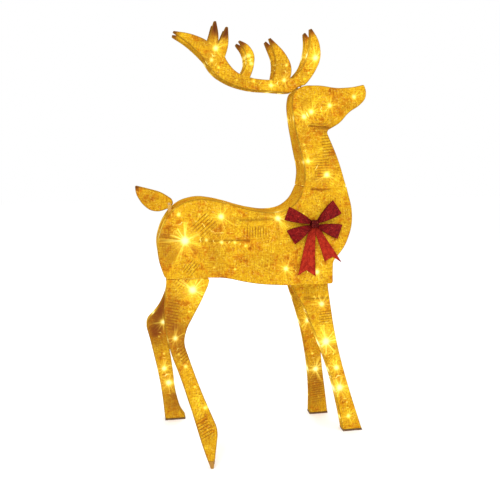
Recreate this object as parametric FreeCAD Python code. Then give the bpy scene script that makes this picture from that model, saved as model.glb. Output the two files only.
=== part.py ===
import FreeCAD, Part
import math
import os

# A lighted reindeer for the lawn: welded wire frames with mesh covers stretched over them, light strings
# inside, and a ribbon bow.  Millimetres, +Z up, +X towards the head.  The near side, with the bow, is -Y.
# The head lifts off the neck, each antler lifts off the head, and the legs and the tail fold on pins.

V = FreeCAD.Vector
NEAR, FAR = -1, 1

# Mesh covers, wires and light strings
COVER_WALL = 2.0
BODY_WIRE = 2.2            # radius of the wire in the torso and head frames
BODY_RUNG = 2.0
LEG_WIRE = 1.6             # radius of the wire in the leg, tail and antler frames
LEG_RUNG = 1.3
WIRE_GAP = 0.6             # between a cover's inner face and the wire that spreads it
LEAD_RADIUS = 1.2
BRANCH_RADIUS = 1.0        # of the leads that branch off a string
LEAD_DEPTH = 12.5          # from a side face in to the lead that runs behind it
BULB_RADIUS = 2.4
BULB_LENGTH = 6.0
RUN_SHARE = 0.45           # the most of a straight run that the arc at its end may take

# Heights and half widths of the leaning side faces
TORSO_SIDES = ((530.0, 95.0), (827.0, 65.0))
HEAD_SIDES = ((829.0, 65.0), (1130.0, 40.0))
NECK_SPLIT = 827.0
HEAD_GAP = 2.0             # between the torso cover and the head cover

# Outlines, clockwise from the back of the neck, as (x, z) or (x, z, corner radius)
TORSO_OUTLINE = [
    (302, 827, 4), (321, 760), (321, 702), (297, 636), (256, 590, 30), (254, 519, 8),
    (70, 519), (-10, 528), (-90, 548), (-132, 552), (-282, 552, 18), (-300, 606), (-305, 655),
    (-290, 710), (-262, 755), (-226, 783), (-172, 797), (-105, 787), (-20, 760), (50, 748), (106, 755),
    (143, 783), (163, 827, 4)]
HEAD_OUTLINE = [
    (163, 829, 4), (167, 880), (152, 938), (132, 1025), (124, 1085), (130, 1124), (162, 1143), (222, 1144),
    (268, 1136), (322, 1140), (361, 1149, 6), (369, 1128), (366, 1104), (345, 1082), (310, 1062),
    (282, 1028), (236, 1003, 12), (276, 914), (301, 829, 4)]
TAIL_OUTLINE = [
    (-248, 777, 13), (-252, 791, 13), (-284, 813), (-326, 825), (-366, 835, 4), (-363, 808), (-346, 778),
    (-322, 757), (-294, 752), (-262, 763, 13)]

# Legs: (x, z) outlines; a sole at z = 0 is cut flat.  Each turns on a pin through its pivot corner.
HIND_PIVOT_X, HIND_PIVOT_Z = -160.0, 528.0
FRONT_PIVOT_X, FRONT_PIVOT_Z = 147.0, 500.0
HIND_LANE = 76.0           # half the distance between the hind legs' middle planes at their pins
FRONT_LANE = 26.0
LEG_HALF_WIDTH = 17.0
LEG_TOP_GAP = 4.0          # from the torso's underside down to the top of a leg
SOLE = 5.0                 # thickness of a foot pad
NEAR_HIND_OUTLINE = [
    (-276, 554, 6), (-292, 430), (-272, 330), (-244, 258), (-212, 155), (-185, 57), (-159, -16, 1),
    (-151, 30), (-138, 106, 80), (-189, 228), (-232, 358), (-222, 398), (-170, 482), (-148, 526),
    (-144, 544, 15), (-166, 544, 8), (-180, 554, 6)]
FAR_HIND_OUTLINE = [
    (-276, 547, 6), (-272, 486), (-300, 420), (-348, 372), (-334, 318), (-310, 200), (-296, 110),
    (-285, -20, 1), (-216, -20, 1), (-216, 8, 6), (-234, 38), (-250, 105), (-257, 196), (-273, 310),
    (-262, 366), (-196, 444), (-152, 510), (-146, 547, 13.8)]
NEAR_FRONT_OUTLINE = [
    (133, 514, 13.8), (136, 488), (172, 432), (212, 332), (249, 237), (276, 146), (296, 50), (309, -20, 1),
    (380, -20, 1), (366, 22), (342, 97), (304, 225), (277, 340), (259, 466), (253, 514, 6)]
FAR_FRONT_OUTLINE = [
    (133, 514, 13.8), (134, 488), (158, 420), (190, 316), (214, 200), (226, 96), (230, -20, 1),
    (300, -20, 1), (286, 72), (262, 212), (250, 350), (241, 514, 6)]
HIND_TOE = 26.0            # height of the metal tip on the near hind leg
TOE_TOP, TOE_TOP_WIDTH = 30.0, 31.5        # the wedge that narrows the metal tip
TOE_TIP, TOE_TIP_WIDTH = -30.0, 3.5
LOOP_RISE = 12.0           # from the top of a foot to the lowest point of the wire loops
LOW_TURN, HIGH_TURN = 3.0, 13.0            # corner radii of the loops at the foot and at the top
JUMPER_LENGTH = 26.0
JOINT_GAP = 0.8            # between the ends of two leads that are drawn separately
UNDERSIDE = {"hind": 552.0, "front": 519.0}

# Light strings, as corners of the lead; a bulb sits at every turn
TORSO_STRING = [
    (214, 772), (160, 742), (75, 728), (-15, 741), (-105, 738), (-172, 748), (-240, 757), (-266, 700),
    (-220, 663), (-152, 670), (-105, 659), (-63, 661), (-30, 645), (40, 652), (120, 640), (186, 632),
    (238, 598), (204, 551), (150, 560), (99, 572), (44, 580), (-10, 590), (-64, 572), (-130, 584),
    (-200, 580)]
HEAD_STRING = [
    (246, 862), (170, 905), (158, 960), (186, 1010), (156, 1048), (186, 1062), (246, 1084), (290, 1078),
    (326, 1110), (346, 1122)]
NEAR_HIND_STRING = [
    (-182, 540), (-200, 512), (-208, 447), (-262, 374), (-250, 326), (-228, 292), (-204, 232), (-172, 172),
    (-172, 110), (-166, 60)]
FAR_HIND_STRING = [
    (-182, 540), (-212, 500), (-216, 440), (-290, 372), (-306, 318), (-284, 256), (-290, 200), (-270, 146),
    (-272, 90), (-256, 40)]
NEAR_FRONT_STRING = [
    (172, 507), (206, 462), (238, 440), (218, 380), (248, 312), (252, 258), (286, 222), (290, 150),
    (322, 100), (322, 50), (340, 26)]
FAR_FRONT_STRING = [
    (172, 507), (184, 461), (216, 420), (200, 366), (232, 300), (224, 240), (246, 180), (238, 120),
    (262, 70), (258, 30)]

# Antlers: each branch is a centre line of (x, z, width), from its root to its tip
ANTLER_ROOT_Z = 1100.0
ANTLER_LANE = 19.0         # from the middle plane to an antler's plane at ANTLER_ROOT_Z
ANTLER_LEAN = 5.0          # degrees, outwards
ANTLER_HALF_WIDTH = 11.0
ANTLER_BRANCHES = [
    [(166, 1153, 40), (120, 1142, 44), (60, 1141, 34), (0, 1144, 36), (-58, 1160, 40), (-100, 1192, 56),
     (-122, 1232, 62), (-128, 1262, 40)],
    [(-111, 1212, 50), (-152, 1252, 46), (-196, 1276, 26), (-240, 1290, 5)],
    [(-125, 1247, 38), (-116, 1286, 26), (-115, 1324, 7)],
    [(-111, 1212, 44), (-87, 1262, 30), (-79, 1309, 7)],
    [(-29, 1152, 32), (-7, 1196, 25), (-6, 1230, 28), (-20, 1254, 20), (-42, 1270, 5)],
    [(90, 1141.5, 54), (100, 1198, 54), (86, 1234, 34), (52, 1280, 6)],
    [(143, 1147.5, 44), (178, 1188, 42), (196, 1232, 46), (194, 1276, 30), (180, 1311, 7)]]
ANTLER_STRINGS = [
    [(150, 1142), (100, 1164), (60, 1137), (5, 1156), (-50, 1152), (-104, 1192), (-132, 1212), (-110, 1246),
     (-116, 1286)],
    [(160, 1156), (178, 1182), (202, 1226), (190, 1268)],
    [(96, 1174), (112, 1204), (84, 1226), (72, 1250)],
    [(-12, 1176), (-2, 1206), (-12, 1228), (-16, 1244)]]
ANTLER_PRONG_X = 157.0
ANTLER_PRONG = 2.0         # radius
ANTLER_TUBE = 5.0          # outer radius of the tube in the head
ANTLER_PLUG_X = 145.0
ANTLER_PLUG = 2.5
STRUT_RISE = 12.0
BROW_TURN, BROW_Y = 6, 23.0   # the head frame's rung above the brow, and where it carries the tubes
ANTLER_GAP = 3.0           # from the crown of the head up to the antler
ANTLER_STRING_Y = 3.4
ANTLER_BULB_LENGTH = 2.0
ANTLER_FEED_TURN = 5       # of the head's string, where a branch leaves for the antler
TIP_TRIM = 3.0             # how much further back a horn's inner tip lies, for each unit of trim
TIP_SETBACK = 12.0         # from a horn's tip back to the end of its wire

# Neck joint: two prongs and an electrical connector
NECK_PRONG_X = (200.0, 268.0)
NECK_PRONG = 2.0
NECK_PRONG_DEPTH = 70.0
FIT = 0.05                 # radial clearance of a running fit
TUBE_WALL = 1.5
CONNECTOR_X, CONNECTOR_Y = 234.0, 18.0
PLUG_TOP = 843.0
SOCKET_FOOT = 804.2
CONNECTOR_PLUG = 4.0       # radius of the spigot

# Hinge pins
PIN_RADIUS = 3.0
PIN_HEAD = 5.0
HINGE_TUBE = 5.0           # outer radius of the tube that turns on a pin
TAB_THICKNESS = 3.0
TAB_GAP = 0.5
TAB_RADIUS = 12.0
TAB_CORNER = 11.5
BAR_RISE = 0.8             # of the bar that carries the tabs, over the outline wires
TAB_REACH = 42.0           # from a pin up to the end of its tab inside the torso
PIN_HEAD_DEPTH = 1.5
TAIL_PIN_X, TAIL_PIN_Z = -262.0, 777.0
TAIL_HALF_WIDTH = 15.0
TAIL_PIN = 2.0
TAIL_CHEEK = 7.0
LUG_THICKNESS = 2.5
INLET_X = -215.0
INLET_RADIUS = 5.0
INLET_TOP = 560.0

# Bow, drawn flat and laid on the near side of the chest
BOW_X, BOW_Z = 190.0, 712.0
BOW_DEPTH = 22.0
BOW_GAP = 0.5
RIBBON = 2.0
TIE_WIRE = 0.8
TIE_REACH = 9.5
BOW_LOOPS = [
    [(176, 724), (114, 767), (98, 724), (176, 711)],
    [(204, 724), (253, 784), (281, 741), (204, 712)],
    [(176, 707), (104, 692), (130, 650), (177, 697)],
    [(204, 707), (282, 707), (263, 662), (204, 697)]]
BOW_TAILS = [
    [(182, 694), (138, 548, 2), (163, 562, 2), (191, 543, 2), (191, 694)],
    [(194, 694), (226, 591, 2), (251, 606, 2), (280, 584, 2), (202, 693)]]
KNOT_HALF_WIDTH, KNOT_HALF_HEIGHT = 12.0, 13.0

LEGS = [
    {"name": "near_hind_leg", "pair": "hind", "side": NEAR, "cheek": 8.0,
     "outline": NEAR_HIND_OUTLINE, "string": NEAR_HIND_STRING, "lean": 18.0,
     "pivot_x": HIND_PIVOT_X, "pivot_z": HIND_PIVOT_Z, "lane": HIND_LANE,
     "pointed": True, "foot_height": HIND_TOE,
     "feed": (-4, 581)},
    {"name": "far_hind_leg", "pair": "hind", "side": FAR, "cheek": 8.0,
     "outline": FAR_HIND_OUTLINE, "string": FAR_HIND_STRING, "lean": 4.7,
     "pivot_x": HIND_PIVOT_X, "pivot_z": HIND_PIVOT_Z, "lane": HIND_LANE,
     "pointed": False, "foot_height": SOLE,
     "feed": (-4, 581)},
    {"name": "near_front_leg", "pair": "front", "side": NEAR, "cheek": 9.5,
     "outline": NEAR_FRONT_OUTLINE, "string": NEAR_FRONT_STRING, "lean": 5.0,
     "pivot_x": FRONT_PIVOT_X, "pivot_z": FRONT_PIVOT_Z, "lane": FRONT_LANE,
     "pointed": False, "foot_height": SOLE,
     "feed": (6, 556)},
    {"name": "far_front_leg", "pair": "front", "side": FAR, "cheek": 9.5,
     "outline": FAR_FRONT_OUTLINE, "string": FAR_FRONT_STRING, "lean": 6.15,
     "pivot_x": FRONT_PIVOT_X, "pivot_z": FRONT_PIVOT_Z, "lane": FRONT_LANE,
     "pointed": False, "foot_height": SOLE,
     "feed": (6, 556)}]


def half_width(sides, z):
    """Half the distance between two leaning side faces at height z."""
    (low, low_width), (high, high_width) = sides
    return low_width + (high_width - low_width) * (z - low) / (high - low)


def rounded_wire(corners, radii, closed):
    """Straight runs joined by tangent arcs, and the middle point of each arc."""
    count = len(corners)
    edges = []
    crowns = []
    pen = None if closed else corners[0]
    first_start = None
    for index in range(count) if closed else range(1, count - 1):
        here = corners[index]
        back = corners[index - 1] - here
        ahead = corners[(index + 1) % count] - here
        half_turn = (math.pi - back.getAngle(ahead)) / 2
        reach = RUN_SHARE * min(back.Length, ahead.Length)
        if radii[index]:
            reach = min(reach, radii[index] * math.tan(half_turn))
        radius = reach / math.tan(half_turn)
        back.normalize()
        ahead.normalize()
        start = here + back * reach
        end = here + ahead * reach
        bisector = (back + ahead).normalize()
        crown = here + bisector * (radius / math.cos(half_turn) - radius)
        if pen:
            edges.append(Part.LineSegment(pen, start).toShape())
        else:
            first_start = start
        edges.append(Part.Arc(start, crown, end).toShape())
        crowns.append(crown)
        pen = end
    edges.append(Part.LineSegment(pen, first_start if closed else corners[-1]).toShape())
    return Part.Wire(edges), crowns


def radii_of(corners):
    return [corner[2] if len(corner) == 3 else None for corner in corners]


def inset(corners, distance):
    """The corners of a parallel outline, a distance inside a closed one."""
    count = len(corners)
    area = sum(corners[i - 1][0] * corners[i][1] - corners[i][0] * corners[i - 1][1] for i in range(count))
    inward = 1 if area > 0 else -1
    moved = []
    for index, corner in enumerate(corners):
        here = V(corner[0], 0, corner[1])
        before = V(corners[index - 1][0], 0, corners[index - 1][1])
        after = V(corners[(index + 1) % count][0], 0, corners[(index + 1) % count][1])
        run_in = (here - before).normalize()
        run_out = (after - here).normalize()
        normal_in = V(-run_in.z, 0, run_in.x) * inward
        normal_out = V(-run_out.z, 0, run_out.x) * inward
        step = (normal_in + normal_out) * (distance / (1 + normal_in.dot(normal_out)))
        place = here + step
        moved.append((place.x, place.z) + tuple(corner[2:]))
    return moved


def prism(corners, low_y, high_y):
    """A rounded outline in the XZ plane, extruded from low_y to high_y."""
    flat = [V(corner[0], low_y, corner[1]) for corner in corners]
    wire, _ = rounded_wire(flat, radii_of(corners), True)
    return Part.Face(wire).extrude(V(0, high_y - low_y, 0))


def between_sides(sides, trim):
    """A block between two leaning side faces, each moved in by trim."""
    low = sides[0][0] - 100
    high = sides[1][0] + 100
    wide = half_width(sides, low) - trim
    narrow = half_width(sides, high) - trim
    section = [V(-500, -wide, low), V(-500, wide, low), V(-500, narrow, high), V(-500, -narrow, high)]
    return Part.Face(Part.makePolygon(section + section[:1])).extrude(V(1000, 0, 0))


def tapered_cover(corners, sides):
    """A mesh cover with leaning sides: a closed skin, hollow inside."""
    reach = 150
    outer = prism(corners, -reach, reach).common(between_sides(sides, 0))
    inner = prism(inset(corners, COVER_WALL), -reach, reach).common(between_sides(sides, COVER_WALL))
    return outer.cut(inner)


def rod(start, end, radius):
    return Part.makeCylinder(radius, (end - start).Length, start, end - start)


def tube_along(wire, radius):
    """A round bar along a wire of tangent lines and arcs."""
    first = wire.OrderedEdges[0]
    start = wire.OrderedVertexes[0].Point
    direction = first.tangentAt(first.FirstParameter)
    ring = Part.Wire(Part.makeCircle(radius, start, direction))
    return wire.makePipeShell([ring], True, False)


def fused(pieces):
    """One solid from pieces that meet."""
    joined = pieces[0].fuse(pieces[1:])
    return joined.Solids[0] if len(joined.Solids) == 1 else joined


def group(pieces):
    """Separate solids that share a node."""
    return Part.makeCompound([solid for piece in pieces for solid in piece.Solids])


def side_points(corners, sides, side, depth):
    """Corners of a path that keeps a depth behind a leaning side face."""
    return [V(corner[0], side * (half_width(sides, corner[1]) - depth), corner[1]) for corner in corners]


def bulb(place, direction, length):
    """A light with a domed tip, seated on the lead and pointing along direction."""
    seat = place + direction * (LEAD_RADIUS * 0.7)
    stem = Part.makeCylinder(BULB_RADIUS, length, seat, direction)
    return stem.fuse(Part.makeSphere(BULB_RADIUS, seat + direction * length))


def light_string(points, directions, bulb_length=BULB_LENGTH):
    """A lead and the bulbs at its turns, one for each direction."""
    wire, crowns = rounded_wire(points, [None] * len(points), False)
    bulbs = [bulb(crown, direction, bulb_length) for crown in crowns for direction in directions]
    return tube_along(wire, LEAD_RADIUS), bulbs, crowns


def tapered_frame(corners, sides, wire_radius):
    """Two outline wires behind the side faces, with a rung at every turn, and the places of the turns."""
    depth = COVER_WALL + WIRE_GAP + wire_radius
    inner = inset(corners, depth)
    pieces = []
    for side in (NEAR, FAR):
        wire, crowns = rounded_wire(side_points(inner, sides, side, depth), radii_of(inner), True)
        pieces.append(tube_along(wire, wire_radius))
    for crown in crowns:
        pieces.append(rod(V(crown.x, -crown.y, crown.z), crown, BODY_RUNG))
    return pieces, crowns


def clipped(corners, limit, keep, radius):
    """The part of a closed outline above a limit, where keep is 1, or below it, where keep is -1."""
    kept = []
    for index, corner in enumerate(corners):
        before = corners[index - 1]
        inside = (corner[1] - limit) * keep > 0
        if inside != ((before[1] - limit) * keep > 0):
            share = (limit - before[1]) / (corner[1] - before[1])
            kept.append((before[0] + share * (corner[0] - before[0]), limit, radius))
        if inside:
            kept.append(corner)
    return kept


def across(x, z, start_y, end_y, radius):
    """A rod along Y."""
    return rod(V(x, start_y, z), V(x, end_y, z), radius)


def leg_placer(leg):
    """The move from the drawing of a leg, at y = 0, to its lane and its outward lean."""
    pivot = V(leg["pivot_x"], leg["side"] * leg["lane"], leg["pivot_z"])

    def place(shape):
        moved = shape.copy()
        moved.translate(V(0, pivot.y, 0))
        moved.rotate(pivot, V(1, 0, 0), leg["side"] * leg["lean"])
        return moved
    return pivot, place


def leg_frame(leg, outline, ground):
    """Two wire loops, rungs between them, and the tube that turns on the pin."""
    depth = COVER_WALL + WIRE_GAP + LEG_WIRE
    loop_y = LEG_HALF_WIDTH - depth
    x, z = leg["pivot_x"], leg["pivot_z"]
    lean = math.radians(leg["lean"])
    headroom = UNDERSIDE[leg["pair"]] - LEG_TOP_GAP - depth - z - loop_y * math.sin(lean)
    loop = clipped(inset(outline, depth), ground + LOOP_RISE, 1, LOW_TURN)
    loop = clipped(loop, z + headroom / math.cos(lean), -1, HIGH_TURN)
    pieces = []
    for y in (-loop_y, loop_y):
        wire, crowns = rounded_wire([V(corner[0], y, corner[1]) for corner in loop], radii_of(loop), True)
        pieces.append(tube_along(wire, LEG_WIRE))
        pieces.append(across(x, z, y - LEG_WIRE / 2, y + LEG_WIRE / 2, leg["cheek"]))
    for crown in crowns[::2]:
        pieces.append(across(crown.x, crown.z, -loop_y, loop_y, LEG_RUNG))
    tube_y = LEG_HALF_WIDTH - COVER_WALL - WIRE_GAP
    pieces.append(across(x, z, -tube_y, tube_y, HINGE_TUBE))
    return fused(pieces).cut(across(x, z, -2 * tube_y, 2 * tube_y, PIN_RADIUS + FIT))


def leg_hanger(leg):
    """The torso's tab on the inner face of a leg, its slot, its pin, and the hole the pin needs."""
    inner_side = -leg["side"]
    x, z = leg["pivot_x"], leg["pivot_z"]
    near_face = inner_side * (LEG_HALF_WIDTH + TAB_GAP)
    far_face = near_face + inner_side * TAB_THICKNESS
    low, high = sorted((near_face, far_face))
    outline = [(x - TAB_RADIUS, z - TAB_RADIUS, TAB_CORNER), (x + TAB_RADIUS, z - TAB_RADIUS, TAB_CORNER),
               (x + TAB_RADIUS, z + TAB_REACH, 3), (x - TAB_RADIUS, z + TAB_REACH, 3)]
    tab = prism(outline, low, high).cut(across(x, z, low - 1, high + 1, PIN_RADIUS))
    slot = prism(inset(outline, -TAB_GAP), low - TAB_GAP, high + TAB_GAP)
    head = far_face + inner_side * PIN_HEAD_DEPTH
    end = leg["side"] * (LEG_HALF_WIDTH - COVER_WALL - 1.5)
    pin = across(x, z, head, end, PIN_RADIUS).fuse(across(x, z, head, far_face, PIN_HEAD))
    pin_hole = across(x, z, 0, 2 * near_face, PIN_RADIUS + 0.5)
    return tab, slot, pin, pin_hole


def build_leg(leg):
    """A leg, drawn upright and then leaned outwards, and what the torso holds it by."""
    name = leg["name"]
    pivot, place = leg_placer(leg)
    stretch = 1 / math.cos(math.radians(leg["lean"]))

    def upright(corners):
        return [(x, pivot.z + (z - pivot.z) * stretch) + tuple(radius) for x, z, *radius in corners]

    outline = upright(leg["outline"])
    ground = leg["foot_height"]
    solid_leg = prism(outline, -LEG_HALF_WIDTH, LEG_HALF_WIDTH)
    hollow_y = LEG_HALF_WIDTH - COVER_WALL
    hollow = prism(inset(outline, COVER_WALL), -hollow_y, hollow_y)
    top = UNDERSIDE[leg["pair"]] - LEG_TOP_GAP
    skin = place(solid_leg).common(slab(ground, top))
    skin = skin.cut(place(hollow).common(slab(ground + COVER_WALL, top - COVER_WALL)))
    if leg["pointed"]:
        foot = place(solid_leg.common(toe_wedge())).common(slab(0, ground))
    else:
        foot = place(solid_leg).common(slab(0, ground))

    # the lead comes down through the top of the leg, from a jumper that bends when the leg folds
    points = [V(x, 0, z) for x, z in upright(leg["string"])]
    lead, bulbs, _ = light_string(points, (V(0, -1, 0), V(0, 1, 0)))
    jumper_line = (points[0] + V(0, 0, JOINT_GAP), points[0] + V(0, 0, JUMPER_LENGTH))
    jumper = place(rod(*jumper_line, LEAD_RADIUS))
    lead_hole = place(rod(*jumper_line, LEAD_RADIUS + 0.6))

    tab, slot, pin, pin_hole = leg_hanger(leg)
    skin = skin.cut(lead_hole).cut(place(pin_hole))
    parts = {
        name + "_frame": place(leg_frame(leg, outline, ground)),
        name + "_cover": skin,
        name + "_foot": foot,
        name + "_light_lead": place(lead),
        name + "_bulbs": place(group(bulbs))}
    held = {"tab": place(tab), "pin": place(pin), "jumper": jumper, "openings": [place(slot), lead_hole],
            "jumper_top": place(Part.Vertex(jumper_line[1])).Point}
    lean = math.radians(leg["side"] * leg["lean"])
    return parts, held, (pivot, V(0, math.cos(lean), math.sin(lean)))


def slab(low, high):
    """Everything between two heights."""
    return Part.makeBox(1200, 900, high - low, V(-600, -450, low))


def toe_wedge():
    """A wedge along X that narrows to the point of a toe."""
    section = [V(-400, -TOE_TOP_WIDTH, TOE_TOP), V(-400, TOE_TOP_WIDTH, TOE_TOP),
               V(-400, TOE_TIP_WIDTH, TOE_TIP), V(-400, -TOE_TIP_WIDTH, TOE_TIP)]
    return Part.Face(Part.makePolygon(section + section[:1])).extrude(V(600, 0, 0))


def antler_placer(side):
    """The move from the drawing of an antler, at y = 0, to its place and its outward lean."""
    root = V(0, side * ANTLER_LANE, ANTLER_ROOT_Z)

    def place(shape):
        moved = shape.copy()
        moved.translate(V(0, root.y, 0))
        moved.rotate(root, V(1, 0, 0), side * -ANTLER_LEAN)
        return moved
    return root, place


def horn(line, trim, half_thickness):
    """A flat horn about a centre line of (x, z, width), smaller by trim all round."""
    points = [V(x, 0, z) for x, z, _ in line]
    points[-1] = points[-1] - (points[-1] - points[-2]).normalize() * (TIP_TRIM * trim)
    last = len(points) - 1
    left, right = [], []
    for index, point in enumerate(points):
        along = points[min(index + 1, last)] - points[max(index - 1, 0)]
        side_step = V(-along.z, 0, along.x).normalize() * max(line[index][2] / 2 - trim, 1.2)
        radius = (4,) if index == 0 else (2.5,) if index == last else ()
        left.append((point.x + side_step.x, point.z + side_step.z) + radius)
        right.append((point.x - side_step.x, point.z - side_step.z) + radius)
    return prism(left + right[::-1], -half_thickness, half_thickness)


def build_antler(name, side):
    """An antler, drawn upright at y = 0 and then leaned outwards."""
    root, place = antler_placer(side)
    stretch = 1 / math.cos(math.radians(ANTLER_LEAN))
    branches = [[(x, root.z + (z - root.z) * stretch, width) for x, z, width in line]
                for line in ANTLER_BRANCHES]

    # the cover stands clear of the crown of the head
    outer = fused([horn(line, 0, ANTLER_HALF_WIDTH) for line in branches])
    inner = fused([horn(line, COVER_WALL, ANTLER_HALF_WIDTH - COVER_WALL) for line in branches])
    below = prism(inset(HEAD_OUTLINE, -ANTLER_GAP), -40, 40)
    below_floor = prism(inset(HEAD_OUTLINE, -ANTLER_GAP - COVER_WALL), -40, 40)
    prong_hole = rod(V(ANTLER_PRONG_X, 0, root.z), V(ANTLER_PRONG_X, 0, root.z + 70), ANTLER_PRONG + 0.4)
    plug_hole = rod(V(ANTLER_PLUG_X, 0, root.z), V(ANTLER_PLUG_X, 0, root.z + 50), ANTLER_PLUG + 0.5)
    skin = outer.cut(below).cut(inner.cut(below_floor)).cut(prong_hole).cut(plug_hole)

    # a welded skeleton of wire, with the prong that drops into the head
    frame = []
    for line in branches:
        points = [V(x, 0, z) for x, z, _ in line]
        points[-1] = points[-1] - (points[-1] - points[-2]).normalize() * TIP_SETBACK
        wire, _ = rounded_wire(points, [None] * len(points), False)
        frame.append(tube_along(wire, LEG_WIRE))
    frame.append(rod(V(ANTLER_PRONG_X, 0, root.z), V(ANTLER_PRONG_X, 0, branches[0][0][1]), ANTLER_PRONG))

    leads, bulbs = [], []
    for corners in ANTLER_STRINGS:
        for y_side in (NEAR, FAR):
            points = [V(x, y_side * ANTLER_STRING_Y, root.z + (z - root.z) * stretch) for x, z in corners]
            lead, lights, _ = light_string(points, (V(0, y_side, 0),), ANTLER_BULB_LENGTH)
            leads.append(lead)
            bulbs += lights
    plug = rod(V(ANTLER_PLUG_X, 0, root.z + 10), V(ANTLER_PLUG_X, 0, root.z + 42), ANTLER_PLUG)
    parts = {name + "_frame": fused(frame), name + "_cover": skin, name + "_light_lead": group(leads),
             name + "_bulbs": group(bulbs), name + "_plug": plug}
    return {node: place(shape) for node, shape in parts.items()}


def antler_seat(side):
    """In the head: the tube for an antler's prong, its socket, and the openings above them."""
    root, place = antler_placer(side)
    foot = V(ANTLER_PRONG_X, 0, root.z)
    top = V(ANTLER_PRONG_X, 0, root.z + 31)
    bore = rod(foot - V(0, 0, 1), top + V(0, 0, 30), ANTLER_PRONG + FIT)
    tube = rod(foot, top, ANTLER_TUBE).cut(bore)
    plug_foot = V(ANTLER_PLUG_X, 0, root.z + 6)
    plug_top = V(ANTLER_PLUG_X, 0, root.z + 24)
    socket = rod(plug_foot, plug_top, ANTLER_PLUG + TUBE_WALL + FIT)
    socket = socket.cut(rod(plug_foot + V(0, 0, 3), plug_top + V(0, 0, 5), ANTLER_PLUG + FIT))
    openings = [rod(top - V(0, 0, 10), top + V(0, 0, 30), ANTLER_PRONG + 0.6),
                rod(plug_top, plug_top + V(0, 0, 30), ANTLER_PLUG + 0.6)]
    feed = place(Part.Vertex(plug_foot)).Point
    return place(tube), place(socket), [place(opening) for opening in openings], feed


def build_tail():
    """The tail turns on a pin that the torso's two lugs hold."""
    hollow_y = TAIL_HALF_WIDTH - COVER_WALL
    pin_hole = across(TAIL_PIN_X, TAIL_PIN_Z, -20, 20, TAIL_PIN + 0.5)
    skin = prism(TAIL_OUTLINE, -TAIL_HALF_WIDTH, TAIL_HALF_WIDTH)
    skin = skin.cut(prism(inset(TAIL_OUTLINE, COVER_WALL), -hollow_y, hollow_y)).cut(pin_hole)

    depth = COVER_WALL + WIRE_GAP + LEG_WIRE
    loop_y = TAIL_HALF_WIDTH - depth
    loop = inset(TAIL_OUTLINE, depth)
    pieces = []
    for y in (-loop_y, loop_y):
        wire, crowns = rounded_wire([V(corner[0], y, corner[1]) for corner in loop], radii_of(loop), True)
        pieces.append(tube_along(wire, LEG_WIRE))
        pieces.append(across(TAIL_PIN_X, TAIL_PIN_Z, y - LEG_WIRE / 2, y + LEG_WIRE / 2, TAIL_CHEEK))
    for crown in crowns[::2]:
        pieces.append(across(crown.x, crown.z, -loop_y, loop_y, LEG_RUNG))
    pieces.append(across(TAIL_PIN_X, TAIL_PIN_Z, -loop_y - 1, loop_y + 1, TAIL_PIN + FIT + TUBE_WALL))
    frame = fused(pieces).cut(across(TAIL_PIN_X, TAIL_PIN_Z, -20, 20, TAIL_PIN + FIT))

    lugs, slots = [], []
    outline = [(TAIL_PIN_X - 5, TAIL_PIN_Z + 5, 4.5), (TAIL_PIN_X + 5, TAIL_PIN_Z + 5, 4.5),
               (TAIL_PIN_X + 9, TAIL_PIN_Z - 30, 3), (TAIL_PIN_X - 3, TAIL_PIN_Z - 30, 3)]
    for side in (NEAR, FAR):
        clear = TAIL_HALF_WIDTH + TAB_GAP
        low, high = sorted((side * clear, side * (clear + LUG_THICKNESS)))
        lugs.append(prism(outline, low, high).cut(across(TAIL_PIN_X, TAIL_PIN_Z, -20, 20, TAIL_PIN)))
        slots.append(prism(inset(outline, -TAB_GAP), low - TAB_GAP, high + TAB_GAP))
    pin_y = TAIL_HALF_WIDTH + TAB_GAP + LUG_THICKNESS + 1.0
    pin = across(TAIL_PIN_X, TAIL_PIN_Z, -pin_y, pin_y, TAIL_PIN)
    return {"tail_frame": frame, "tail_cover": skin}, pin, lugs, slots


def torso_string(side):
    """The lead and bulbs behind one side of the torso, from the neck socket to the power inlet."""
    run = side_points(TORSO_STRING, TORSO_SIDES, side, LEAD_DEPTH)
    socket = V(CONNECTOR_X + side * 2, CONNECTOR_Y, SOCKET_FOOT - 0.6)
    head = [socket, socket + V(0, side * 8, -15.6)]
    inlet = V(INLET_X, side * 2, INLET_TOP + 0.4)
    tail = [inlet + V(-8, side * 32, 11.6), inlet + V(0, side * 4, 17.6), inlet]
    wire, crowns = rounded_wire(head + run + tail, [None] * (len(run) + 5), False)
    outward = V(0, side, 0)
    bulbs = [bulb(crown, outward, BULB_LENGTH) for crown in crowns[1:len(run) + 1]]
    return tube_along(wire, LEAD_RADIUS), bulbs, crowns


def head_string(side):
    """The lead and bulbs behind one side of the neck and head."""
    run = side_points(HEAD_STRING, HEAD_SIDES, side, LEAD_DEPTH)
    plug = V(CONNECTOR_X + side * 2, CONNECTOR_Y, PLUG_TOP + 0.4)
    start = [plug, plug + V(0, side * 3, 7.6)]
    wire, crowns = rounded_wire(start + run, [None] * (len(run) + 2), False)
    outward = V(0, side, 0)
    bulbs = [bulb(crown, outward, BULB_LENGTH) for crown in crowns[1:]]
    return tube_along(wire, LEAD_RADIUS), bulbs, crowns


def branch_lead(points):
    """A short lead that joins a string."""
    wire, _ = rounded_wire(points, [None] * len(points), False)
    return tube_along(wire, BRANCH_RADIUS)


def lead_ties(crowns, side):
    """Nylon ties: a ring about the lead and a stud towards the cover, half way along every third run."""
    ties = []
    for before, after in list(zip(crowns, crowns[1:]))[1::3]:
        middle = (before + after) * 0.5
        along = (after - before).normalize()
        ring = rod(middle - along * 1.5, middle + along * 1.5, LEAD_RADIUS + 1.0)
        stud = rod(middle, middle + V(0, side * TIE_REACH, 0), 1.0)
        ties.append(ring.fuse(stud).cut(rod(middle - along * 6, middle + along * 6, LEAD_RADIUS)))
    return ties


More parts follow.
